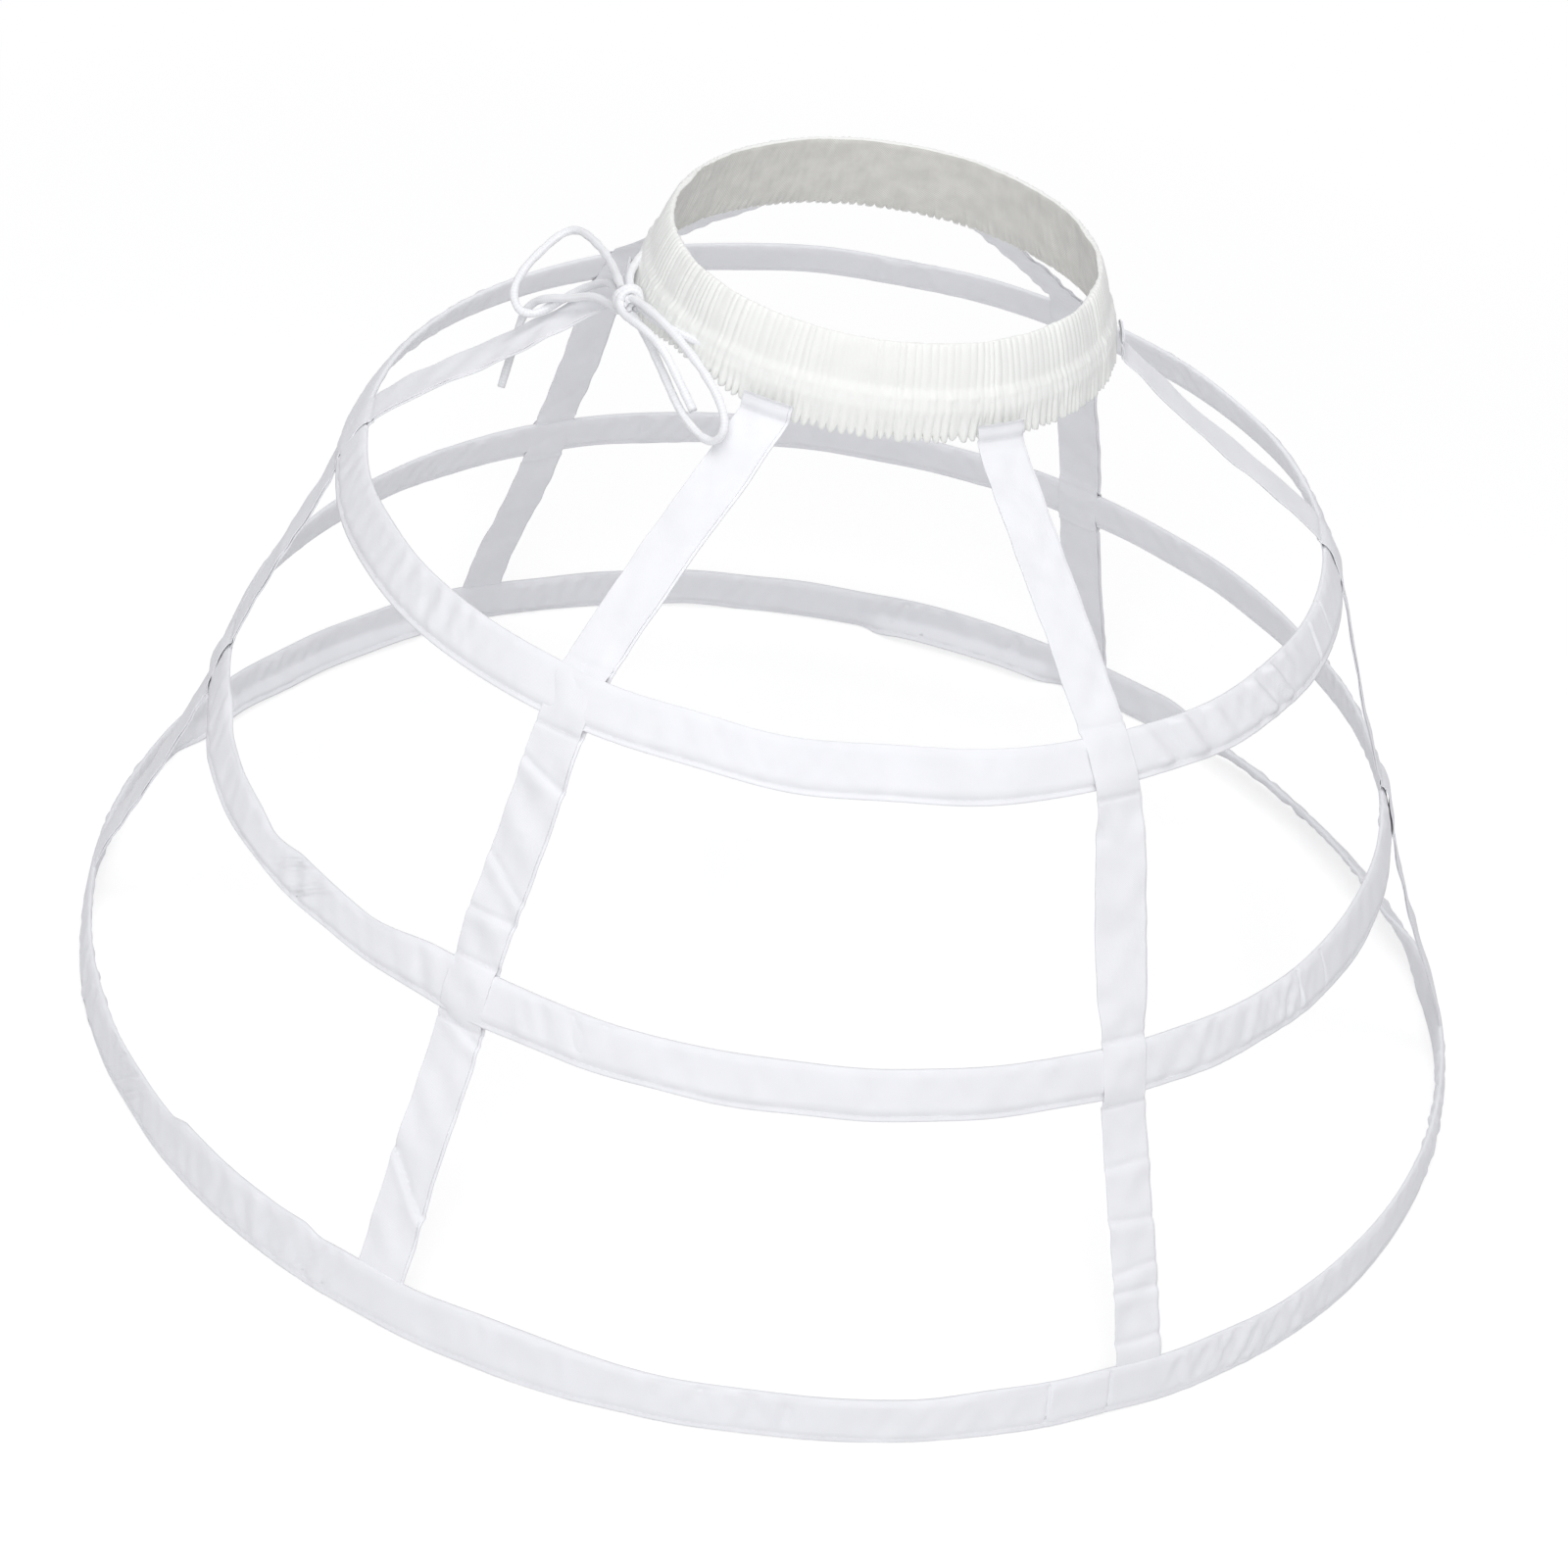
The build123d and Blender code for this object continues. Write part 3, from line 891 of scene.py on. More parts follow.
@dataclass
class Strap:
    """A doubled tape: both plies lie together between the hoops and part round the two upper ones."""

    node: str
    azimuth: float
    seed: int
    crumple: float
    drifts: tuple[float, ...]
    creases: tuple[Crease, ...]
    turns: tuple[Stretch, ...]
    hoops: tuple[Casing, ...]
    # Radius and height of the top and the foot of the stretch that is sewn into the waistband.
    lap_top: tuple[float, float] = (0.1005, 0.3405)
    lap_foot: tuple[float, float] = (0.1021, 0.3310)
    lap_inset: float = 0.002
    width: float = 0.020
    ply: float = 0.0005
    clear: float = 0.0004
    edge_clear: float = 0.0004
    upper_climb: float = 0.0035
    lower_climb: float = 0.0045
    parting: float = 0.0032
    foot_lead: float = 0.0015
    tuck: float = 0.003
    bend: float = 0.0024
    pitch: float = 0.0012
    columns: int = 11
    edge_round: float = 0.0003
    hug: float = 0.0005
    hug_start_share: float = 0.3
    edge_gap: float = 0.0001
    gap_start_share: float = 0.42
    end_hold: float = 0.02
    seam_depth: float = 0.0008
    seam_half: float = 0.0009
    seam_inset: float = 0.0012
    seam_points: int = 9
    soft_folds: Ripple = Ripple(0.012, 0.05, 0, 8, 1.6)
    sharp_folds: Ripple = Ripple(0.02, 0.07, 1, 6, 2.2)
    sway: float = 0.0005
    sway_waves: Ripple = Ripple(0.08, 0.2, 2)
    wander: float = 0.0003
    wander_waves: Ripple = Ripple(0.08, 0.25, 3)
    breadth_share: float = 0.012
    breadth_waves: Ripple = Ripple(0.05, 0.2, 4)
    inner_shift: float = 0.0011
    # Heights, from the foot up, at which drifts, given from the top down, move the strap sideways.
    drift_heights: tuple[float, ...] = (0.020, 0.132, 0.237, 0.262, 0.335)

    def ply_line(self, ply: Ply) -> np.ndarray:
        """Line of one ply's middle in the upright section, from the waistband to the bottom hoop.

        Args:
            ply: Which ply.

        Returns:
            Points by radius and height.
        """
        side = ply.value * self.ply / 2.0
        top, middle, bottom = self.hoops
        corners = [(radius + side, height) for radius, height in (self.lap_top, self.lap_foot)]
        for hoop in (top, middle):
            edge = hoop.width / 2.0
            lifted, near = (ply.value * (half + self.clear + self.ply / 2.0)
                            for half in (hoop.body_half, hoop.lip_half))
            steps = ((-edge - self.parting, side), (-edge - self.edge_clear, near),
                     (-edge + self.upper_climb, lifted), (edge - self.lower_climb, lifted),
                     (edge + self.edge_clear, near), (edge + self.parting, side))
            corners += [tuple(hoop.section(along, out)) for along, out in steps]
        for lead in (-self.foot_lead, self.tuck):
            corners.append(tuple(bottom.section(lead - bottom.width / 2.0, side)))
        return tidy_line(corners, self.pitch, self.bend)

    def rise(self, line: np.ndarray, ply: Ply, width: np.ndarray) -> np.ndarray:
        """How far a ply stands out from its middle line.

        Args:
            line: Its middle line.
            ply: Which ply.
            width: Distance across the tape, by place along and across.

        Returns:
            The distance, outwards.
        """
        far = lengths_of(line)[:, None]
        free = step_between(0.0, self.end_hold, far) * step_between(0.0, self.end_hold, far[-1] - far)
        soft = self.soft_folds.at(far, width, None, self.seed)
        sharp = self.sharp_folds.at(far, width, None, self.seed)
        rise = self.crumple * (soft + 1.0 - np.abs(sharp)) / 2.0 * free
        for crease in self.creases:
            rise = rise + crease.at(far, width)
        for height in self.seam_heights():
            rise = rise - self.seam_depth * hump(line[:, 1:], height, self.seam_half)
        for turn in self.turns:
            rise = rise + turn.at(far) * width
        half = self.width / 2.0
        hugged = step_between(self.hug_start_share * self.width, half, np.abs(width))
        gap = self.edge_gap * step_between(self.gap_start_share * self.width, half, np.abs(width)) * free
        for hoop in self.hoops[:2]:
            near = hump(line[:, 1:], hoop.height, hoop.width / 2.0)
            gap = gap * (1.0 - near) - self.hug * hugged * near
        sway = self.sway * self.sway_waves.at(far, piece_seed=self.seed)
        return rise + ply.value * gap + sway * free

    def surface(self, line: np.ndarray, ply: Ply, across: np.ndarray, out: float) -> np.ndarray:
        """Points of a ply.

        Args:
            line: Its middle line.
            ply: Which ply.
            across: Distances across the tape.
            out: Distance outwards from the ply's middle.

        Returns:
            The points, by place along and across.
        """
        slope = np.gradient(line, axis=0)
        normal = np.stack([-slope[:, 1], slope[:, 0]], axis=1)
        normal /= np.linalg.norm(normal, axis=1)[:, None]
        if normal[len(normal) // 2, 0] < 0.0:
            normal = -normal
        width = across[None, :] * np.ones((len(line), 1))
        rise = self.rise(line, ply, width) + out
        far = lengths_of(line)[:, None]
        side = width * (1.0 + self.breadth_share * self.breadth_waves.at(far, piece_seed=self.seed))
        side = side + self.wander * self.wander_waves.at(far, piece_seed=self.seed)
        side = side + np.interp(line[:, 1], self.drift_heights, self.drifts[::-1])[:, None]
        if ply is Ply.INNER:
            side = side + self.inner_shift
        radius = line[:, :1] + normal[:, :1] * rise
        height = line[:, 1:] + normal[:, 1:] * rise
        outwards = np.sqrt(np.maximum(radius ** 2 - side ** 2, 0.0))
        angle = math.radians(self.azimuth)
        return np.stack([
            outwards * math.cos(angle) - side * math.sin(angle),
            outwards * math.sin(angle) + side * math.cos(angle),
            height,
        ], axis=-1)

    def build(self, tape: bpy.types.Material) -> bpy.types.Object:
        """Makes the strap of its two plies.

        Args:
            tape: Its material.

        Returns:
            The piece.
        """
        skin = Skin()
        half = self.width / 2.0
        flat = np.linspace(self.edge_round - half, half - self.edge_round, self.columns)
        across = np.concatenate([[-half], flat, [half]])
        run = np.concatenate([across, 2.0 * half - across[::-1], [3.0 * half]])
        for ply in Ply:
            line = self.ply_line(ply)
            front, back = (self.surface(line, ply, across, side * self.ply / 2.0) for side in (1.0, -1.0))
            section = np.concatenate([front, back[:, ::-1]], axis=1)
            skin.tube(section, lengths_of(line), run, ring=False)
        return skin.build(self.node + "_tape", [tape])

    def seam_rows(self) -> list[np.ndarray]:
        """Lines of the cross seams on the outer ply.

        Returns:
            A row of points for each seam.
        """
        line = self.ply_line(Ply.OUTER)
        reach = self.width / 2.0 - self.seam_inset
        points = self.surface(line, Ply.OUTER, np.linspace(-reach, reach, self.seam_points), self.ply / 2.0)
        return [points[int(np.argmin(np.abs(line[:, 1] - height)))] for height in self.seam_heights()]

    def seam_heights(self) -> list[float]:
        """Heights of the cross seams.

        Returns:
            Those at the waistband, then those above and below the two upper hoops.
        """
        heights = [self.lap_foot[1] + self.lap_inset, self.lap_top[1] - self.lap_inset]
        for hoop in self.hoops[:2]:
            reach = hoop.width / 2.0 + self.parting
            heights += [float(hoop.section(along, 0.0)[1]) for along in (-reach, reach)]
        return heights

    @property
    def tape_length(self) -> float:
        """Length of tape in both plies."""
        return sum(float(lengths_of(self.ply_line(ply))[-1]) for ply in Ply)


@dataclass(frozen=True)
class Pleats:
    """Rounded folds with sharp valleys between them, all round the waistband."""

    count: int
    seed: int
    straying: float
    stray_waves: Ripple = Ripple(FULL_TURN * 2.2, FULL_TURN * 7.0, 0, 12)
    roundness: float = 0.75
    height: float = 0.9
    height_spread: float = 0.12
    height_waves: Ripple = Ripple(FULL_TURN * 1.4, FULL_TURN * 4.0, 1, 12)
    height_limits: tuple[float, float] = (0.5, 1.1)

    def at(self, angle: np.ndarray) -> np.ndarray:
        """Height of the folds.

        Args:
            angle: Azimuth.

        Returns:
            The height, 0 in a valley and about 1 on a fold.
        """
        far = angle * self.count
        loop = FULL_TURN * self.count
        stray = FULL_TURN * self.straying * self.stray_waves.at(far, 0.0, loop, self.seed)
        wave = np.abs(np.sin((far + stray) / 2.0)) ** self.roundness
        tall = self.height + self.height_spread * self.height_waves.at(far, 0.0, loop, self.seed)
        return wave * np.clip(tall, *self.height_limits)


@dataclass
class Waistband:
    """The gathered waistband: fine pleats over the elastic, a puffed seam, and a frill below it."""

    node: str = "waistband"
    foot: float = 0.3325
    height: float = 0.0355
    inner_foot: float = 0.095
    inner_top: float = 0.085
    cut_length: float = 0.80
    seed: int = 5
    profile_shares: tuple[float, ...] = (0.0, 0.12, 0.34, 0.42, 0.47, 0.56, 0.76, 0.94, 1.0)
    profile_walls: tuple[float, ...] = (0.0030, 0.0038, 0.0053, 0.0049, 0.0048, 0.0037, 0.0036, 0.0028,
                                        0.0021)
    thinnest: float = 0.0009
    pleats: Pleats = Pleats(190, 5, 0.11)
    pleat_depth: float = 0.0007
    pleat_middle: float = 0.6
    pleat_slant: float = 0.012
    slant_share: float = 0.3
    slant_waves: Ripple = Ripple(0.2, 0.9, 7)
    fade: float = 0.7
    fade_spread: float = 0.3
    fade_waves: Ripple = Ripple(0.15, 0.6, 11)
    upper_shares: tuple[float, float] = (0.48, 0.66)
    rim_shares: tuple[float, float] = (0.9, 1.0)
    rim_press: float = 0.55
    rim_wave: float = 0.0005
    rim_wave_shares: tuple[float, float] = (0.85, 1.0)
    frill: Pleats = Pleats(164, 8, 0.13)
    frill_depth: float = 0.0019
    frill_middle: float = 0.45
    frill_shares: tuple[float, float] = (0.04, 0.36)
    frill_press: float = 0.55
    frill_drop: float = 0.0006
    hem_share: float = 0.34
    notch: float = 0.0046
    notch_sharpness: float = 2.2
    welt_share: float = 0.47
    welt_spread_share: float = 0.055
    welt_press: float = 0.6
    welt_press_share: float = 0.08
    puff: float = 0.2
    puff_spread: float = 0.6
    puff_waves: Ripple = Ripple(0.025, 0.12, 9, 14)
    puff_depth: float = 0.0004
    cinch_azimuth: float = 222.0
    cinch_spread: float = 0.30
    cinch_lift: float = 0.0065
    crimp: float = 0.00009
    crimp_waves: Ripple = Ripple(0.004, 0.012, 20, 14, 0.6)
    inner_wave: float = 0.0003
    inner_waves: Ripple = Ripple(0.02, 0.08, 21)
    inner_frill: float = 0.0018
    inner_hem_share: float = 0.26
    fray_share: float = 0.5
    fray_sharpness: float = 1.5
    fold_rise: float = 0.0007
    fold_shares: tuple[float, ...] = (0.12, 0.5, 0.88)
    rows: int = 1900
    # First and last share of the height, and how many rows of points lie there.
    outer_rows: tuple[tuple[float, float, int], ...] = ((0.0, 0.4, 13), (0.43, 0.62, 9), (0.67, 1.0, 9))
    inner_rows: int = 14
    rim_uv_shares: tuple[float, ...] = (1.02, 1.05, 1.08)
    inner_uv_share: float = 2.1
    hem_uv_shares: tuple[float, ...] = (2.12, 2.15, 2.18, 2.2)
    seam_points: int = 520
    seam_drop_share: float = 0.05

    def inner_radius(self, share: np.ndarray) -> np.ndarray:
        """Radius of the inside at a share of the height."""
        return self.inner_foot + (self.inner_top - self.inner_foot) * share

    def cinch(self, angle: np.ndarray) -> np.ndarray:
        """How far the drawstring pulls the frill up beside the bow."""
        return self.cinch_lift * hump(turned(angle, self.cinch_azimuth), 0.0, self.cinch_spread)

    def wave(self, waves: Ripple, angle: np.ndarray) -> np.ndarray:
        """A wave that runs round the band."""
        return waves.at(angle, 0.0, FULL_TURN, self.seed)

    def outside(self, angle: np.ndarray, share: np.ndarray) -> np.ndarray:
        """Points of the outside.

        Args:
            angle: Azimuth.
            share: Share of the height.

        Returns:
            The points.
        """
        slanted = angle + self.pleat_slant * (share - self.slant_share) * self.wave(self.slant_waves, angle)
        pleat = self.pleats.at(slanted) - self.pleat_middle
        lump = self.frill.at(slanted)
        upper = step_between(*self.upper_shares, share)
        upper = upper * (1.0 - self.rim_press * step_between(*self.rim_shares, share))
        lower = 1.0 - step_between(*self.frill_shares, share)
        pressed = 1.0 - self.welt_press * hump(share, self.welt_share, self.welt_press_share)
        pressed = np.maximum(pressed - self.frill_press * lower, upper)
        fade = self.fade + self.fade_spread * self.wave(self.fade_waves, angle)
        puff = np.maximum(self.puff + self.puff_spread * self.wave(self.puff_waves, angle), 0.0)
        thick = np.interp(share, self.profile_shares, self.profile_walls)
        thick = thick + self.pleat_depth * fade * pleat * pressed
        thick = thick + self.frill_depth * (lump - self.frill_middle) * lower
        thick = thick + self.puff_depth * puff * hump(share, self.welt_share, self.welt_spread_share)
        notch = self.notch * (1.0 - np.clip(lump, 0.0, 1.0)) ** self.notch_sharpness
        drop = (1.0 - step_between(0.0, self.hem_share, share)) * (notch + self.cinch(angle))
        rim = step_between(*self.rim_wave_shares, share) * self.rim_wave * pleat
        height = self.foot + self.height * share + drop - self.frill_drop * lower + rim
        return upright(angle, self.inner_radius(share) + np.maximum(thick, self.thinnest), height)

    def inside(self, angle: np.ndarray, share: np.ndarray) -> np.ndarray:
        """Points of the inside.

        Args:
            angle: Azimuth.
            share: Share of the height.

        Returns:
            The points.
        """
        far = angle * self.inner_foot
        girth = FULL_TURN * self.inner_foot
        crimp = self.crimp * self.crimp_waves.at(far, share * self.height, girth, self.seed)
        slow = self.inner_wave * self.inner_waves.at(far, 0.0, girth, self.seed)
        lump = self.frill.at(angle)
        low = 1.0 - step_between(0.0, self.inner_hem_share, share)
        radius = self.inner_radius(share) + crimp + slow + self.inner_frill * lump * low
        fray = self.fray_share * self.notch * (1.0 - np.clip(lump, 0.0, 1.0)) ** self.fray_sharpness
        height = self.foot + self.height * share + low * (fray + self.cinch(angle))
        return upright(angle, radius, height)

    def rounded(self, first: np.ndarray, last: np.ndarray, way: float) -> np.ndarray:
        """Points round the fold of an edge.

        Args:
            first: Points where the fold starts.
            last: Points where it ends.
            way: 1 for a fold at the top, -1 for one at the foot.

        Returns:
            The points between them.
        """
        rows = []
        for share in self.fold_shares:
            row = first * (1.0 - share) + last * share
            row[:, 2] += way * self.fold_rise * math.sin(math.pi * share)
            rows.append(row)
        return np.stack(rows, axis=1)

    def build(self, cloth: bpy.types.Material, lining: bpy.types.Material) -> bpy.types.Object:
        """Makes the waistband.

        Args:
            cloth: Material of the outside.
            lining: Material of the inside, the cloth's own warmer tone darkened further as painted shade.

        Returns:
            The piece.
        """
        angles = np.linspace(0.0, FULL_TURN, self.rows, endpoint=False)[:, None]
        up = np.concatenate([np.linspace(*rows) for rows in self.outer_rows])
        down = np.linspace(1.0, 0.0, self.inner_rows)
        ones = np.ones((self.rows, 1))
        outside, inside = self.outside(angles, ones * up), self.inside(angles, ones * down)
        rim = self.rounded(outside[:, -1], inside[:, 0], 1.0)
        hem = self.rounded(inside[:, -1], outside[:, 0], -1.0)
        section = np.concatenate([outside, rim, inside, hem], axis=1)
        across = np.concatenate([up, self.rim_uv_shares, self.inner_uv_share - down, self.hem_uv_shares])
        folds = len(self.fold_shares)
        # The inside rows take the second material, the lining darkened as painted shade.
        kinds = np.repeat([0, 1, 0], [len(up) + folds, len(down) - 1, folds + 1])
        along = np.linspace(0.0, FULL_TURN * self.inner_foot, self.rows + 1)
        skin = Skin()
        skin.tube(section, along, self.height * across, ring=True, material=kinds)
        return skin.build(self.node + "_cloth", [cloth, lining])

    def seam_rows(self) -> list[np.ndarray]:
        """Line of the stitching round the band's middle, a closed ring of points."""
        angles = np.linspace(0.0, FULL_TURN, self.seam_points, endpoint=False)
        return [self.outside(angles, np.full_like(angles, self.welt_share - self.seam_drop_share))]


@dataclass(frozen=True)
class Route:
    """A cord of the bow: its CAD node, its route from the knot, its far end and how it lies."""

    node: str
    points: tuple[Point, ...]
    far_end: str
    lay: str


FRONT_LOOP = Route("bow_front_loop", (
    (-0.0950, -0.0466, 0.3476), (-0.0910, -0.0530, 0.3500), (-0.0810, -0.0665, 0.3510),
    (-0.0700, -0.0790, 0.3480), (-0.0590, -0.0920, 0.3430), (-0.0515, -0.1025, 0.3374),
    (-0.0490, -0.1081, 0.3303), (-0.0530, -0.1072, 0.3236), (-0.0600, -0.1002, 0.3226),
    (-0.0685, -0.0886, 0.3251), (-0.0770, -0.0750, 0.3320), (-0.0855, -0.0615, 0.3385),
    (-0.0910, -0.0530, 0.3413), (-0.0955, -0.0459, 0.3421),
), "object", "loose")
SIDE_LOOP = Route("bow_side_loop", (
    (-0.0994, -0.0414, 0.3478), (-0.1020, -0.0325, 0.3475), (-0.1045, -0.0210, 0.3450),
    (-0.1090, -0.0070, 0.3435), (-0.1165, 0.0080, 0.3420), (-0.1240, 0.0200, 0.3395),
    (-0.1305, 0.0200, 0.3365), (-0.1365, 0.0120, 0.3325), (-0.1430, 0.0040, 0.3260),
    (-0.1460, -0.0022, 0.3185), (-0.1425, -0.0069, 0.3124), (-0.1355, -0.0057, 0.3110),
    (-0.1270, -0.0009, 0.3162), (-0.1175, -0.0016, 0.3248), (-0.1080, -0.0120, 0.3350),
    (-0.1030, -0.0255, 0.3403), (-0.0989, -0.0394, 0.3432),
), "object", "loose")
FRONT_TAIL = Route("bow_front_tail", (
    (-0.0996, -0.0459, 0.3450), (-0.0985, -0.0525, 0.3438), (-0.0900, -0.0625, 0.3455),
    (-0.0790, -0.0740, 0.3435), (-0.0690, -0.0855, 0.3340), (-0.0630, -0.0925, 0.3280),
), "bare", "hanging")
SIDE_TAIL = Route("bow_side_tail", (
    (-0.0980, -0.0431, 0.3407), (-0.0998, -0.0380, 0.3360), (-0.1050, -0.0273, 0.3338),
    (-0.1130, -0.0162, 0.3298), (-0.1220, -0.0096, 0.3232), (-0.1305, -0.0042, 0.3192),
    (-0.1375, 0.0022, 0.3128), (-0.1415, 0.0043, 0.3042), (-0.1430, 0.0025, 0.2930),
    (-0.1445, -0.0015, 0.2840), (-0.1460, -0.0045, 0.2750),
), "bare", "hanging")


def smooth_route(points: Sequence[Sequence[float]], closed: bool = False) -> np.ndarray:
    """Points of the smooth line that a route's NURBS spline draws.

    Args:
        points: The spline's control points.
        closed: Whether it ends where it starts.

    Returns:
        Points along the line.
    """
    curve = bpy.data.curves.new("route", "CURVE")
    curve.dimensions = "3D"
    curve.resolution_u = ROUTE_STEPS
    spline = curve.splines.new("NURBS")
    spline.points.add(len(points) - 1)
    for control, point in zip(spline.points, points):
        control.co = (*point, 1.0)
    spline.order_u = ROUTE_ORDER
    if closed:
        spline.use_cyclic_u = True
    else:
        spline.use_endpoint_u = True
    mesh = mesh_of(placed("route", curve))
    line = np.array([vertex.co for vertex in mesh.vertices], float)
    bpy.data.curves.remove(curve)
    bpy.data.meshes.remove(mesh)
    return line


def frames_along(line: np.ndarray, closed: bool) -> tuple[np.ndarray, np.ndarray]:
    """Two directions square to a line at each point, turned as little as can be from point to point.

    Args:
        line: The points.
        closed: Whether the line is a ring.

    Returns:
        The two directions.
    """
    ahead = np.roll(line, -1, 0) - np.roll(line, 1, 0) if closed else np.gradient(line, axis=0)
    ahead /= np.linalg.norm(ahead, axis=1)[:, None]
    first = np.cross(ahead[0], (0.0, 0.0, 1.0))
    if np.linalg.norm(first) < STEEP_LIMIT:
        first = np.cross(ahead[0], (0.0, 1.0, 0.0))
    sides = [first / np.linalg.norm(first)]
    for direction in ahead[1:]:
        side = sides[-1] - direction * float(sides[-1] @ direction)
        sides.append(side / np.linalg.norm(side))
    side = np.array(sides)
    return side, np.cross(ahead, side)


@dataclass(frozen=True)
class Wrap:
    """A turn of cord round the knot: its lean, its shift along the knot and its reach from the middle."""

    lean: float
    shift: float
    reach: float


@dataclass
class Bow:
    """The drawstring: a bow of two loops and two tails of limp cord, its knot and the held run."""

    diameter: float = 0.0034
    sides: int = 14
    swell_share: float = 0.04
    swell_waves: Ripple = Ripple(0.004, 0.02, 0)
    routes: tuple[Route, ...] = (FRONT_LOOP, SIDE_LOOP, FRONT_TAIL, SIDE_TAIL)
    knot_node: str = "bow_knot"
    knot_azimuth: float = 204.0
    knot_radius: float = 0.1055
    knot_height: float = 0.34528
    wraps: tuple[Wrap, ...] = (Wrap(0.28, -0.0014, 0.0047), Wrap(-0.22, 0.0018, 0.0042))
    wrap_points: int = 12
    wrap_height_share: float = 1.06
    # How far each strand lies above the knot's middle and outwards from it.
    strands: tuple[tuple[float, float], ...] = ((0.0016, 0.0012), (-0.0016, -0.0012), (0.0018, -0.0015),
                                                (-0.0012, 0.0018))
    strand_reaches: tuple[float, ...] = (-0.0065, -0.003, 0.0, 0.003, 0.0065)
    strand_taper: float = 0.012
    strand_share: float = 0.85
    run_node: str = "drawstring"
    run_radius: float = 0.0942
    run_step: float = 6.0
    # Degrees round from the knot, and radius, from the knot to the tunnel.
    leads: tuple[tuple[float, float], ...] = ((2.8, 0.1030), (7.5, 0.1021), (12.0, 0.1006), (18.0, 0.0975),
                                              (23.5, 0.0948))

    def tube(self, skin: Skin, line: np.ndarray, closed: bool, diameter: float) -> None:
        """Adds a round cord to a skin.

        Args:
            skin: The skin.
            line: Points of the cord's middle.
            closed: Whether the cord is a ring.
            diameter: Its thickness.
        """
        side, up = frames_along(line, closed)
        turn = np.linspace(0.0, FULL_TURN, self.sides, endpoint=False)
        swell = 1.0 + self.swell_share * self.swell_waves.at(lengths_of(line), piece_seed=len(line))
        ring = np.cos(turn)[None, :, None] * side[:, None] + np.sin(turn)[None, :, None] * up[:, None]
        points = line[:, None] + ring * swell[:, None, None] * diameter / 2.0
        far = lengths_of(np.vstack([line, line[:1]]) if closed else line)
        skin.tube(points, far, np.linspace(0.0, 1.0, self.sides + 1), ring=closed)

    def build_cord(self, route: Route, braid: bpy.types.Material) -> tuple[bpy.types.Object, np.ndarray]:
        """Makes one cord.

        Args:
            route: Its route.
            braid: Its material.

        Returns:
            The piece, and the line that it follows.
        """
        line = smooth_route(route.points)
        skin = Skin()
        self.tube(skin, line, False, self.diameter)
        return skin.build(route.node + "_cord", [braid]), line

    def build_knot(self, braid: bpy.types.Material) -> bpy.types.Object:
        """Makes the knot: two turns of cord wrapped round the strands, and the strands between them.

        Args:
            braid: Its material.

        Returns:
            The piece.
        """
        angle = math.radians(self.knot_azimuth)
        out = np.array([math.cos(angle), math.sin(angle), 0.0])
        along = np.array([-math.sin(angle), math.cos(angle), 0.0])
        up = np.array([0.0, 0.0, 1.0])
        middle = out * self.knot_radius + up * self.knot_height
        skin = Skin()
        for wrap in self.wraps:
            ring = []
            for turn in np.linspace(0.0, FULL_TURN, self.wrap_points, endpoint=False):
                rise, depth = wrap.reach * math.sin(turn), wrap.reach * math.cos(turn)
                shift = wrap.shift + wrap.lean * rise
                ring.append(middle + along * shift + out * depth + up * self.wrap_height_share * rise)
            self.tube(skin, smooth_route(ring, True), True, self.diameter)
        for lift, side in self.strands:
            strand = [middle + along * reach + out * side + up * lift * (1.0 - abs(reach) / self.strand_taper)
                      for reach in self.strand_reaches]
            self.tube(skin, smooth_route(strand), False, self.strand_share * self.diameter)
        return skin.build(self.knot_node + "_cords", [braid])

    def build_run(self, braid: bpy.types.Material) -> bpy.types.Object:
        """Makes the held part of the drawstring: out of the knot, round the waist in its tunnel and back.

        Args:
            braid: Its material.

        Returns:
            The piece.
        """
        start = 2.0 * self.leads[-1][0] - self.leads[-2][0]
        steps = int(round((360.0 - 2.0 * start) / self.run_step))
        run = [(angle, self.run_radius) for angle in np.linspace(start, 360.0 - start, steps + 1)]
        back = [(360.0 - angle, radius) for angle, radius in reversed(self.leads)]
        points = []
        for angle, radius in (*self.leads, *run, *back):
            turn = math.radians(self.knot_azimuth + angle)
            points.append((radius * math.cos(turn), radius * math.sin(turn), self.knot_height))
        skin = Skin()
        self.tube(skin, smooth_route(points), False, self.diameter)
        return skin.build(self.run_node + "_cord", [braid])


@dataclass(frozen=True)
class Stitch:
    """A row's stitches: the distance from one to the next, their length and the thread's thickness."""

    pitch: float
    length: float
    thickness: float


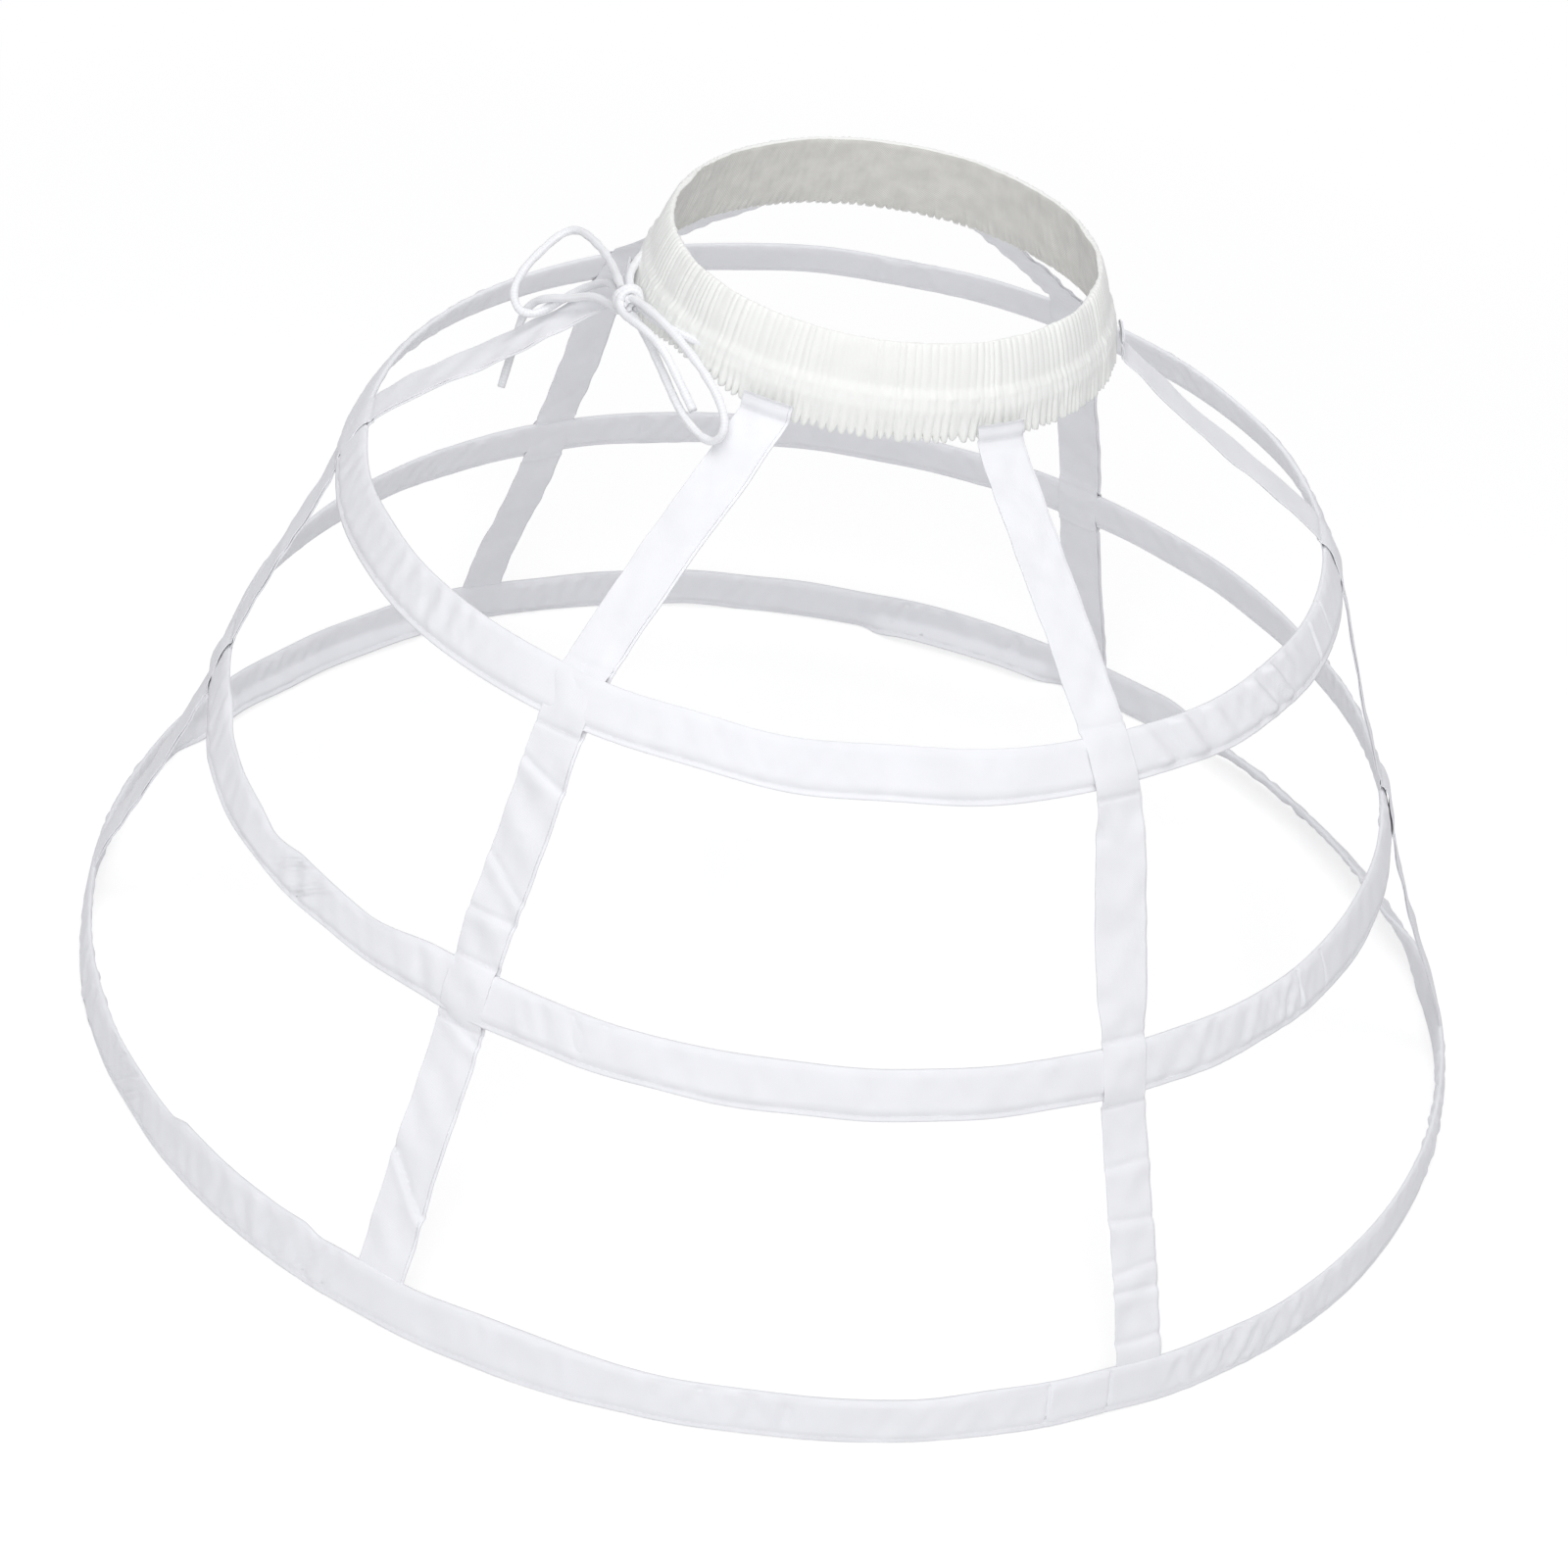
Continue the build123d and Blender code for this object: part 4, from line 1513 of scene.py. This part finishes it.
class Stitching:
    """Rows of thread stitches, laid along lines by one node tree."""

    SEGMENTS = 5
    RINGS = 4

    def __init__(self, thread: bpy.types.Material) -> None:
        """Builds the tree.

        Args:
            thread: The stitches' material.
        """
        self.tree = bpy.data.node_groups.new("stitch_rows", "GeometryNodeTree")
        face = self.tree.interface
        face.new_socket("Rows", in_out="INPUT", socket_type="NodeSocketGeometry")
        self.inputs = {name: face.new_socket(name, in_out="INPUT", socket_type="NodeSocketFloat").identifier
                       for name in ("Pitch", "Length", "Thickness")}
        face.new_socket("Stitches", in_out="OUTPUT", socket_type="NodeSocketGeometry")
        start = self.add("NodeGroupInput")
        given = {name: start.outputs[name] for name in ("Rows", *self.inputs)}
        line = self.add("GeometryNodeMeshToCurve", Mesh=given["Rows"])
        even = self.add("GeometryNodeResampleCurve", {"mode": "LENGTH"}, Curve=line.outputs[0],
                        Length=given["Pitch"])
        tangent = self.add("GeometryNodeInputTangent")
        turn = self.add("FunctionNodeAlignRotationToVector", {"axis": "Z"}, Vector=tangent.outputs[0])
        shape = self.add("GeometryNodeMeshUVSphere", Segments=self.SEGMENTS, Rings=self.RINGS, Radius=0.5)
        scale = self.add("ShaderNodeCombineXYZ", X=given["Thickness"], Y=given["Thickness"],
                         Z=given["Length"])
        laid = self.add("GeometryNodeInstanceOnPoints", Points=even.outputs[0], Instance=shape.outputs[0],
                        Rotation=turn.outputs[0], Scale=scale.outputs[0])
        real = self.add("GeometryNodeRealizeInstances", Geometry=laid.outputs[0])
        dressed = self.add("GeometryNodeSetMaterial", Geometry=real.outputs[0], Material=thread)
        self.add("NodeGroupOutput", Stitches=dressed.outputs[0])

    def add(self, kind: str, settings: Optional[dict] = None, **inputs: object) -> bpy.types.Node:
        """Adds a node to the tree.

        Args:
            kind: The node's type.
            settings: Its own settings, set before its inputs.
            inputs: Values, or outputs of other nodes, by the name of the input that they feed.

        Returns:
            The node.
        """
        node = self.tree.nodes.new(kind)
        for name, value in (settings or {}).items():
            setattr(node, name, value)
        for name, value in inputs.items():
            if isinstance(value, bpy.types.NodeSocket):
                self.tree.links.new(value, node.inputs[name])
            else:
                node.inputs[name].default_value = value
        return node

    def sew(self, name: str, rows: Sequence[np.ndarray], rings: bool, stitch: Stitch) -> bpy.types.Object:
        """Lays stitches along rows of points.

        Args:
            name: The piece's name.
            rows: The rows.
            rings: Whether each row meets itself.
            stitch: The stitches.

        Returns:
            The piece, as a plain mesh.
        """
        edges = []
        start = 0
        for row in rows:
            count = len(row)
            spans = count if rings else count - 1
            edges += [(start + place, start + (place + 1) % count) for place in range(spans)]
            start += count
        lines = bpy.data.meshes.new(name + "_rows")
        lines.from_pydata(np.vstack(rows).tolist(), edges, [])
        holder = placed(name + "_rows", lines)
        layer = holder.modifiers.new("stitches", "NODES")
        layer.node_group = self.tree
        for key, value in zip(self.inputs.values(), (stitch.pitch, stitch.length, stitch.thickness)):
            layer[key] = value
        mesh = mesh_of(holder)
        mesh.name = name
        bpy.data.meshes.remove(lines)
        return placed(name, mesh)


@dataclass(frozen=True)
class Lamp:
    """A soft lamp: where it stands, what it faces, its size and its power."""

    name: str
    place: Point
    target: Point
    size: float
    power: float

    def build(self) -> None:
        """Adds the lamp."""
        light = bpy.data.lights.new(self.name, "AREA")
        light.shape = "DISK"
        light.size = self.size
        light.energy = self.power
        holder = placed(self.name, light)
        facing = Vector(self.target) - Vector(self.place)
        turn = facing.to_track_quat("-Z", "Y").to_matrix().to_4x4()
        holder.matrix_world = Matrix.Translation(self.place) @ turn


@dataclass(frozen=True)
class Studio:
    """The camera, the lamps, the floor and the white surroundings."""

    camera_place: Point = (0.0, -1.6145, 1.1899)
    camera_yaw: float = -0.21
    camera_pitch: float = 34.0
    camera_roll: float = 9.12
    lens: float = 103.6
    sensor: float = 36.0
    sight: float = 100.0
    floor_size: float = 30.0
    floor_drop: float = 0.0006
    floor_near: float = 0.45
    floor_far: float = 0.95
    floor_share: float = 0.42
    floor_glow: float = 0.665
    floor_bounce: float = 0.9
    ambient: float = 0.44
    ambient_colour: Colour = (0.965, 0.965, 1.0)
    lamps: tuple[Lamp, ...] = (
        Lamp("front_softbox", (-0.05, -1.9, 1.7), (0.0, 0.0, 0.15), 1.3, 20.5),
        Lamp("top_softbox", (0.0, -0.4, 2.2), (0.0, 0.0, 0.1), 1.6, 17.0),
    )

    def build(self) -> None:
        """Adds everything that stands round the object."""
        self.add_camera()
        for lamp in self.lamps:
            lamp.build()
        self.add_floor()
        self.add_world()
        bpy.context.scene.view_settings.view_transform = "Standard"

    def add_camera(self) -> None:
        """Adds the camera at the photograph's viewing angle."""
        angles = (self.camera_yaw, self.camera_pitch, self.camera_roll)
        yaw, pitch, roll = (math.radians(angle) for angle in angles)
        level_ahead = Vector((math.sin(yaw), math.cos(yaw), 0.0))
        ahead = level_ahead * math.cos(pitch) - Vector((0.0, 0.0, math.sin(pitch)))
        level = Vector((math.cos(yaw), -math.sin(yaw), 0.0))
        above = level.cross(ahead)
        right = level * math.cos(roll) + above * math.sin(roll)
        up = right.cross(ahead)
        data = bpy.data.cameras.new("camera")
        data.sensor_width = self.sensor
        data.lens = self.lens
        data.clip_end = self.sight
        camera = placed("camera", data)
        turn = Matrix((right, up, -ahead)).transposed().to_4x4()
        camera.matrix_world = Matrix.Translation(self.camera_place) @ turn
        bpy.context.scene.camera = camera

    def add_floor(self) -> None:
        """Adds a white floor that keeps the object's shadow and fades to white away from it."""
        half = self.floor_size / 2.0
        mesh = bpy.data.meshes.new("floor")
        sides = ((-half, -half), (half, -half), (half, half), (-half, half))
        mesh.from_pydata([(*side, -self.floor_drop) for side in sides], [], [(0, 1, 2, 3)])
        material = bpy.data.materials.new("white_floor")
        tree = ShaderTree(material)
        seen = tree.camera_sees()
        plain, dim = (tree.node("ShaderNodeBsdfDiffuse", None, {"Color": rgba((share,) * 3)})
                      for share in (self.floor_bounce, self.floor_share))
        glow, white = (tree.node("ShaderNodeEmission", None, {"Color": rgba(WHITE), "Strength": strength})
                       for strength in (self.floor_glow, 1.0))
        lit = tree.node("ShaderNodeAddShader", None, {0: dim, 1: glow})
        place = tree.node("ShaderNodeTexCoord", None, None, "Object")
        far = tree.node("ShaderNodeVectorMath", {"operation": "LENGTH"}, {0: place}, "Value")
        fade = tree.node("ShaderNodeMapRange", None, {
            "Value": far, "From Min": self.floor_near, "From Max": self.floor_far})
        shown = tree.node("ShaderNodeMixShader", None, {0: fade, 1: lit, 2: white})
        surface = tree.node("ShaderNodeMixShader", None, {0: seen, 1: plain, 2: shown})
        tree.node("ShaderNodeOutputMaterial", None, {"Surface": surface})
        mesh.materials.append(material)
        placed("floor", mesh)

    def add_world(self) -> None:
        """Makes the surroundings white to the eye and a soft even light on the object."""
        world = bpy.data.worlds.new("surroundings")
        bpy.context.scene.world = world
        tree = ShaderTree(world)
        seen = tree.camera_sees()
        kinds = ((self.ambient_colour, self.ambient), (WHITE, 1.0))
        soft, white = (tree.node("ShaderNodeBackground", None, {"Color": rgba(colour), "Strength": strength})
                       for colour, strength in kinds)
        surface = tree.node("ShaderNodeMixShader", None, {0: seen, 1: soft, 2: white})
        tree.node("ShaderNodeOutputWorld", None, {"Surface": surface})


CASING_CLOTH = Cloth("casing_cloth", "casing_cloth", (0.875, 0.88, 0.905), 0.0007, 0.00005)
STRAP_TAPE = Cloth("strap_tape", "strap_tape", (0.875, 0.88, 0.905), 0.0008, 0.00006)
WAIST_CLOTH = Cloth("waistband_cloth", "waistband_cloth", (0.89, 0.90, 0.87), 0.0007, 0.00005)
# Inside of the waistband: the cloth's own warmer tone, darkened further as painted shade, with stronger
# painted shade in its weave.
WAIST_SHADED_LINING = Cloth("waistband_shaded_lining", "waistband_cloth", (0.833, 0.825, 0.783), 0.0011, 0.00008,
                     mottle_share=0.2, weave_shade=0.3, crumple_pitch=0.005, crumple_depth=0.0005)
CORD_BRAID = Braid("cord_braid", "cord_braid", (0.88, 0.885, 0.90), 0.0026, 0.00007)
THREAD = Braid("sewing_thread", "casing_cloth", (0.90, 0.90, 0.93), 0.0008, 0.00003, strands=2)
SPRING_STEEL = Strip("spring_steel", (0.62, 0.63, 0.65), metallic=1.0, roughness=0.38, grain=0.0006)
CRIMPED_STEEL = Strip("crimped_steel", (0.70, 0.70, 0.71), metallic=1.0, roughness=0.32, grain=0.0009)
ELASTIC_WEB = Strip("elastic_web", (0.80, 0.79, 0.76), metallic=0.0, roughness=0.85, grain=0.0012)
CASING_STITCH = Stitch(pitch=0.0032, length=0.0024, thickness=0.0004)
STRAP_STITCH = Stitch(pitch=0.003, length=0.0022, thickness=0.0003)
WAIST_STITCH = Stitch(pitch=0.0034, length=0.0022, thickness=0.00022)


@dataclass
class Cage:
    """The whole cage, dressed piece by piece."""

    bottom: Casing = field(default_factory=lambda: Casing(
        node="bottom_hoop_casing", radius=0.300, height=0.01042, lean=7.0, join_azimuth=299.5,
        join_length=0.026, seed=100,
        puckers=(Pucker(213.0, 0.016, 0.0006, 1.2), Pucker(237.0, 0.016, 0.0005, 1.0),
                 Pucker(314.0, 0.03, 0.00025)),
        twists=(Stretch(21.0, 47.0, 9.0, 39.0),),
        pinches=(Stretch(222.0, 236.0, 2.5, -0.17), Stretch(241.0, 256.5, 8.0, -0.14),
                 Stretch(268.0, 286.0, 7.0, 0.05)),
        splays=(Stretch(133.0, 156.0, 6.0, 1.0), Stretch(71.0, 82.0, 5.0, 1.3))))
    middle: Casing = field(default_factory=lambda: Casing(
        node="middle_hoop_casing", radius=0.2505, height=0.132, lean=20.0, join_azimuth=330.0,
        join_length=0.018, seed=200,
        puckers=(Pucker(222.0, 0.014, 0.0006, 1.2), Pucker(322.0, 0.030, 0.0003)),
        twists=(Stretch(200.0, 220.0, 8.0, 12.0),),
        pinches=(Stretch(200.0, 214.0, 6.0, 0.24), Stretch(219.0, 230.0, 9.0, 0.22))))
    top: Casing = field(default_factory=lambda: Casing(
        node="top_hoop_casing", radius=0.204, height=0.2485, lean=31.0, join_azimuth=346.0,
        join_length=0.017, seed=300, crumple=0.00036,
        puckers=(Pucker(315.0, 0.022, 0.0017, slant=-0.6, shortest=0.012, longest=0.022, valley=-0.35),
                 Pucker(332.0, 0.024, 0.0017, slant=-0.6, shortest=0.012, longest=0.020, valley=-0.35),
                 Pucker(252.0, 0.02, 0.0003))))
    waistband: Waistband = field(default_factory=Waistband)
    bow: Bow = field(default_factory=Bow)
    strap_azimuth: float = 4.0
    strap_seed: int = 500
    strap_seed_step: int = 17
    strap_nodes: tuple[str, ...] = ("right_strap", "back_right_strap", "back_left_strap", "left_strap",
                                    "front_left_strap", "front_right_strap")
    strap_crumples: tuple[float, ...] = (0.0004, 0.0004, 0.0004, 0.0004, 0.0006, 0.00035)
    left_creases: tuple[Crease, ...] = (Crease(0.173, 0.38), Crease(0.217, 0.73), Crease(0.2335, 0.0),
                                        Crease(0.281, 0.45), Crease(0.347, 1.1, 0.0012))
    right_creases: tuple[Crease, ...] = (Crease(0.305, -0.05, 0.0005), Crease(0.328, 0.1, 0.0007),
                                         Crease(0.348, -0.1, 0.0007), Crease(0.357, 0.05), Crease(0.378, 0.0))
    straight: tuple[float, ...] = (0.0, 0.0, 0.0, 0.0, 0.0)
    left_drifts: tuple[float, ...] = (0.0092, 0.0003, -0.0010, -0.0038, -0.0008)
    right_drifts: tuple[float, ...] = (-0.0012, 0.0008, 0.0046, 0.0036, 0.0028)
    right_turns: tuple[Stretch, ...] = (Stretch(0.172, 0.236, 0.012, 0.2),)

    def dress(self, piece: bpy.types.Object, slot: str, *nodes: str) -> None:
        """Says what a piece rides on and what it replaces.

        Args:
            piece: The piece.
            slot: Not used.
            nodes: The CAD nodes that it stands for.
        """
        if nodes:
            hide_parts(*nodes)
        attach(piece, BODY)
        LOG.info("%s: %d faces", piece.name, len(piece.data.polygons))

    def straps(self) -> list[Strap]:
        """The six straps, evenly round the cage.

        Returns:
            The straps, in the order of their azimuths.
        """
        step = 360.0 / len(self.strap_nodes)
        creases = {"front_left_strap": self.left_creases, "front_right_strap": self.right_creases}
        drifts = {"front_left_strap": self.left_drifts, "front_right_strap": self.right_drifts}
        turns = {"front_right_strap": self.right_turns}
        return [Strap(node=node, azimuth=self.strap_azimuth + step * number,
                      seed=self.strap_seed + self.strap_seed_step * number,
                      crumple=self.strap_crumples[number], drifts=drifts.get(node, self.straight),
                      creases=creases.get(node, ()), turns=turns.get(node, ()),
                      hoops=(self.top, self.middle, self.bottom))
                for number, node in enumerate(self.strap_nodes)]

    def build(self) -> None:
        """Makes every piece."""
        cloth, tape, braid = (finish.build() for finish in (CASING_CLOTH, STRAP_TAPE, CORD_BRAID))
        stitching = Stitching(THREAD.build())
        self.dress_hidden()
        self.build_bow(braid)
        for casing in (self.bottom, self.middle, self.top):
            self.build_casing(casing, cloth, stitching)
        self.build_straps(tape, stitching)
        self.build_waistband(stitching)

    def dress_hidden(self) -> None:
        """Gives the strips inside the casings and the waistband their finishes."""
        steel, crimp, web = (finish.build() for finish in (SPRING_STEEL, CRIMPED_STEEL, ELASTIC_WEB))
        for hoop in (self.bottom, self.middle):
            self.dress(hoop.build_boning(steel), SPRING_STEEL.name, hoop.boning_node)
        finishes = {"boning": steel, "ferrule": crimp, "elastic": web}
        for name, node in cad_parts.items():
            for word, material in finishes.items():
                if name.endswith(word):
                    for place in node.material_slots:
                        place.material = material

    def build_bow(self, braid: bpy.types.Material) -> None:
        """Args:
            braid: Their material.
        """
        bow = self.bow
        self.dress(bow.build_knot(braid), CORD_BRAID.slot, bow.knot_node)
        self.dress(bow.build_run(braid), CORD_BRAID.slot, bow.run_node)
        for route in bow.routes:
            piece, line = bow.build_cord(route, braid)
            self.dress(piece, CORD_BRAID.slot, route.node)
            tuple(route.points[0])
            float(lengths_of(line)[-1])

    def build_casing(self, casing: Casing, cloth: bpy.types.Material, stitching: Stitching) -> None:
        """Args:
            casing: The casing.
            cloth: Its material.
            stitching: What sews the seam.
        """
        piece = casing.build(cloth)
        self.dress(piece, CASING_CLOTH.slot, casing.node)
        name = casing.node.replace("casing", "stitches")
        self.dress(stitching.sew(name, casing.seam_rows(), True, CASING_STITCH), CASING_CLOTH.slot)

    def build_straps(self, tape: bpy.types.Material, stitching: Stitching) -> None:
        """Makes the straps and their cross seams.

        Args:
            tape: Their material.
            stitching: What sews the seams.
        """
        rows: list[np.ndarray] = []
        for strap in self.straps():
            piece = strap.build(tape)
            self.dress(piece, STRAP_TAPE.slot, strap.node)
            strap.tape_length
            rows += strap.seam_rows()
        self.dress(stitching.sew("strap_stitches", rows, False, STRAP_STITCH), STRAP_TAPE.slot)

    def build_waistband(self, stitching: Stitching) -> None:
        """Makes the waistband and its seam.

        Args:
            stitching: What sews the seam.
        """
        band = self.waistband
        piece = band.build(WAIST_CLOTH.build(), WAIST_SHADED_LINING.build())
        self.dress(piece, WAIST_CLOTH.slot, band.node)
        seam = stitching.sew("waistband_stitches", band.seam_rows(), True, WAIST_STITCH)
        self.dress(seam, WAIST_CLOTH.slot)


def main() -> None:
    """Builds the dressed cage and its studio."""
    logging.basicConfig(level=logging.INFO)
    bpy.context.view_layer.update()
    Cage().build()
    Studio().build()


if __name__ == "__main__":
    main()
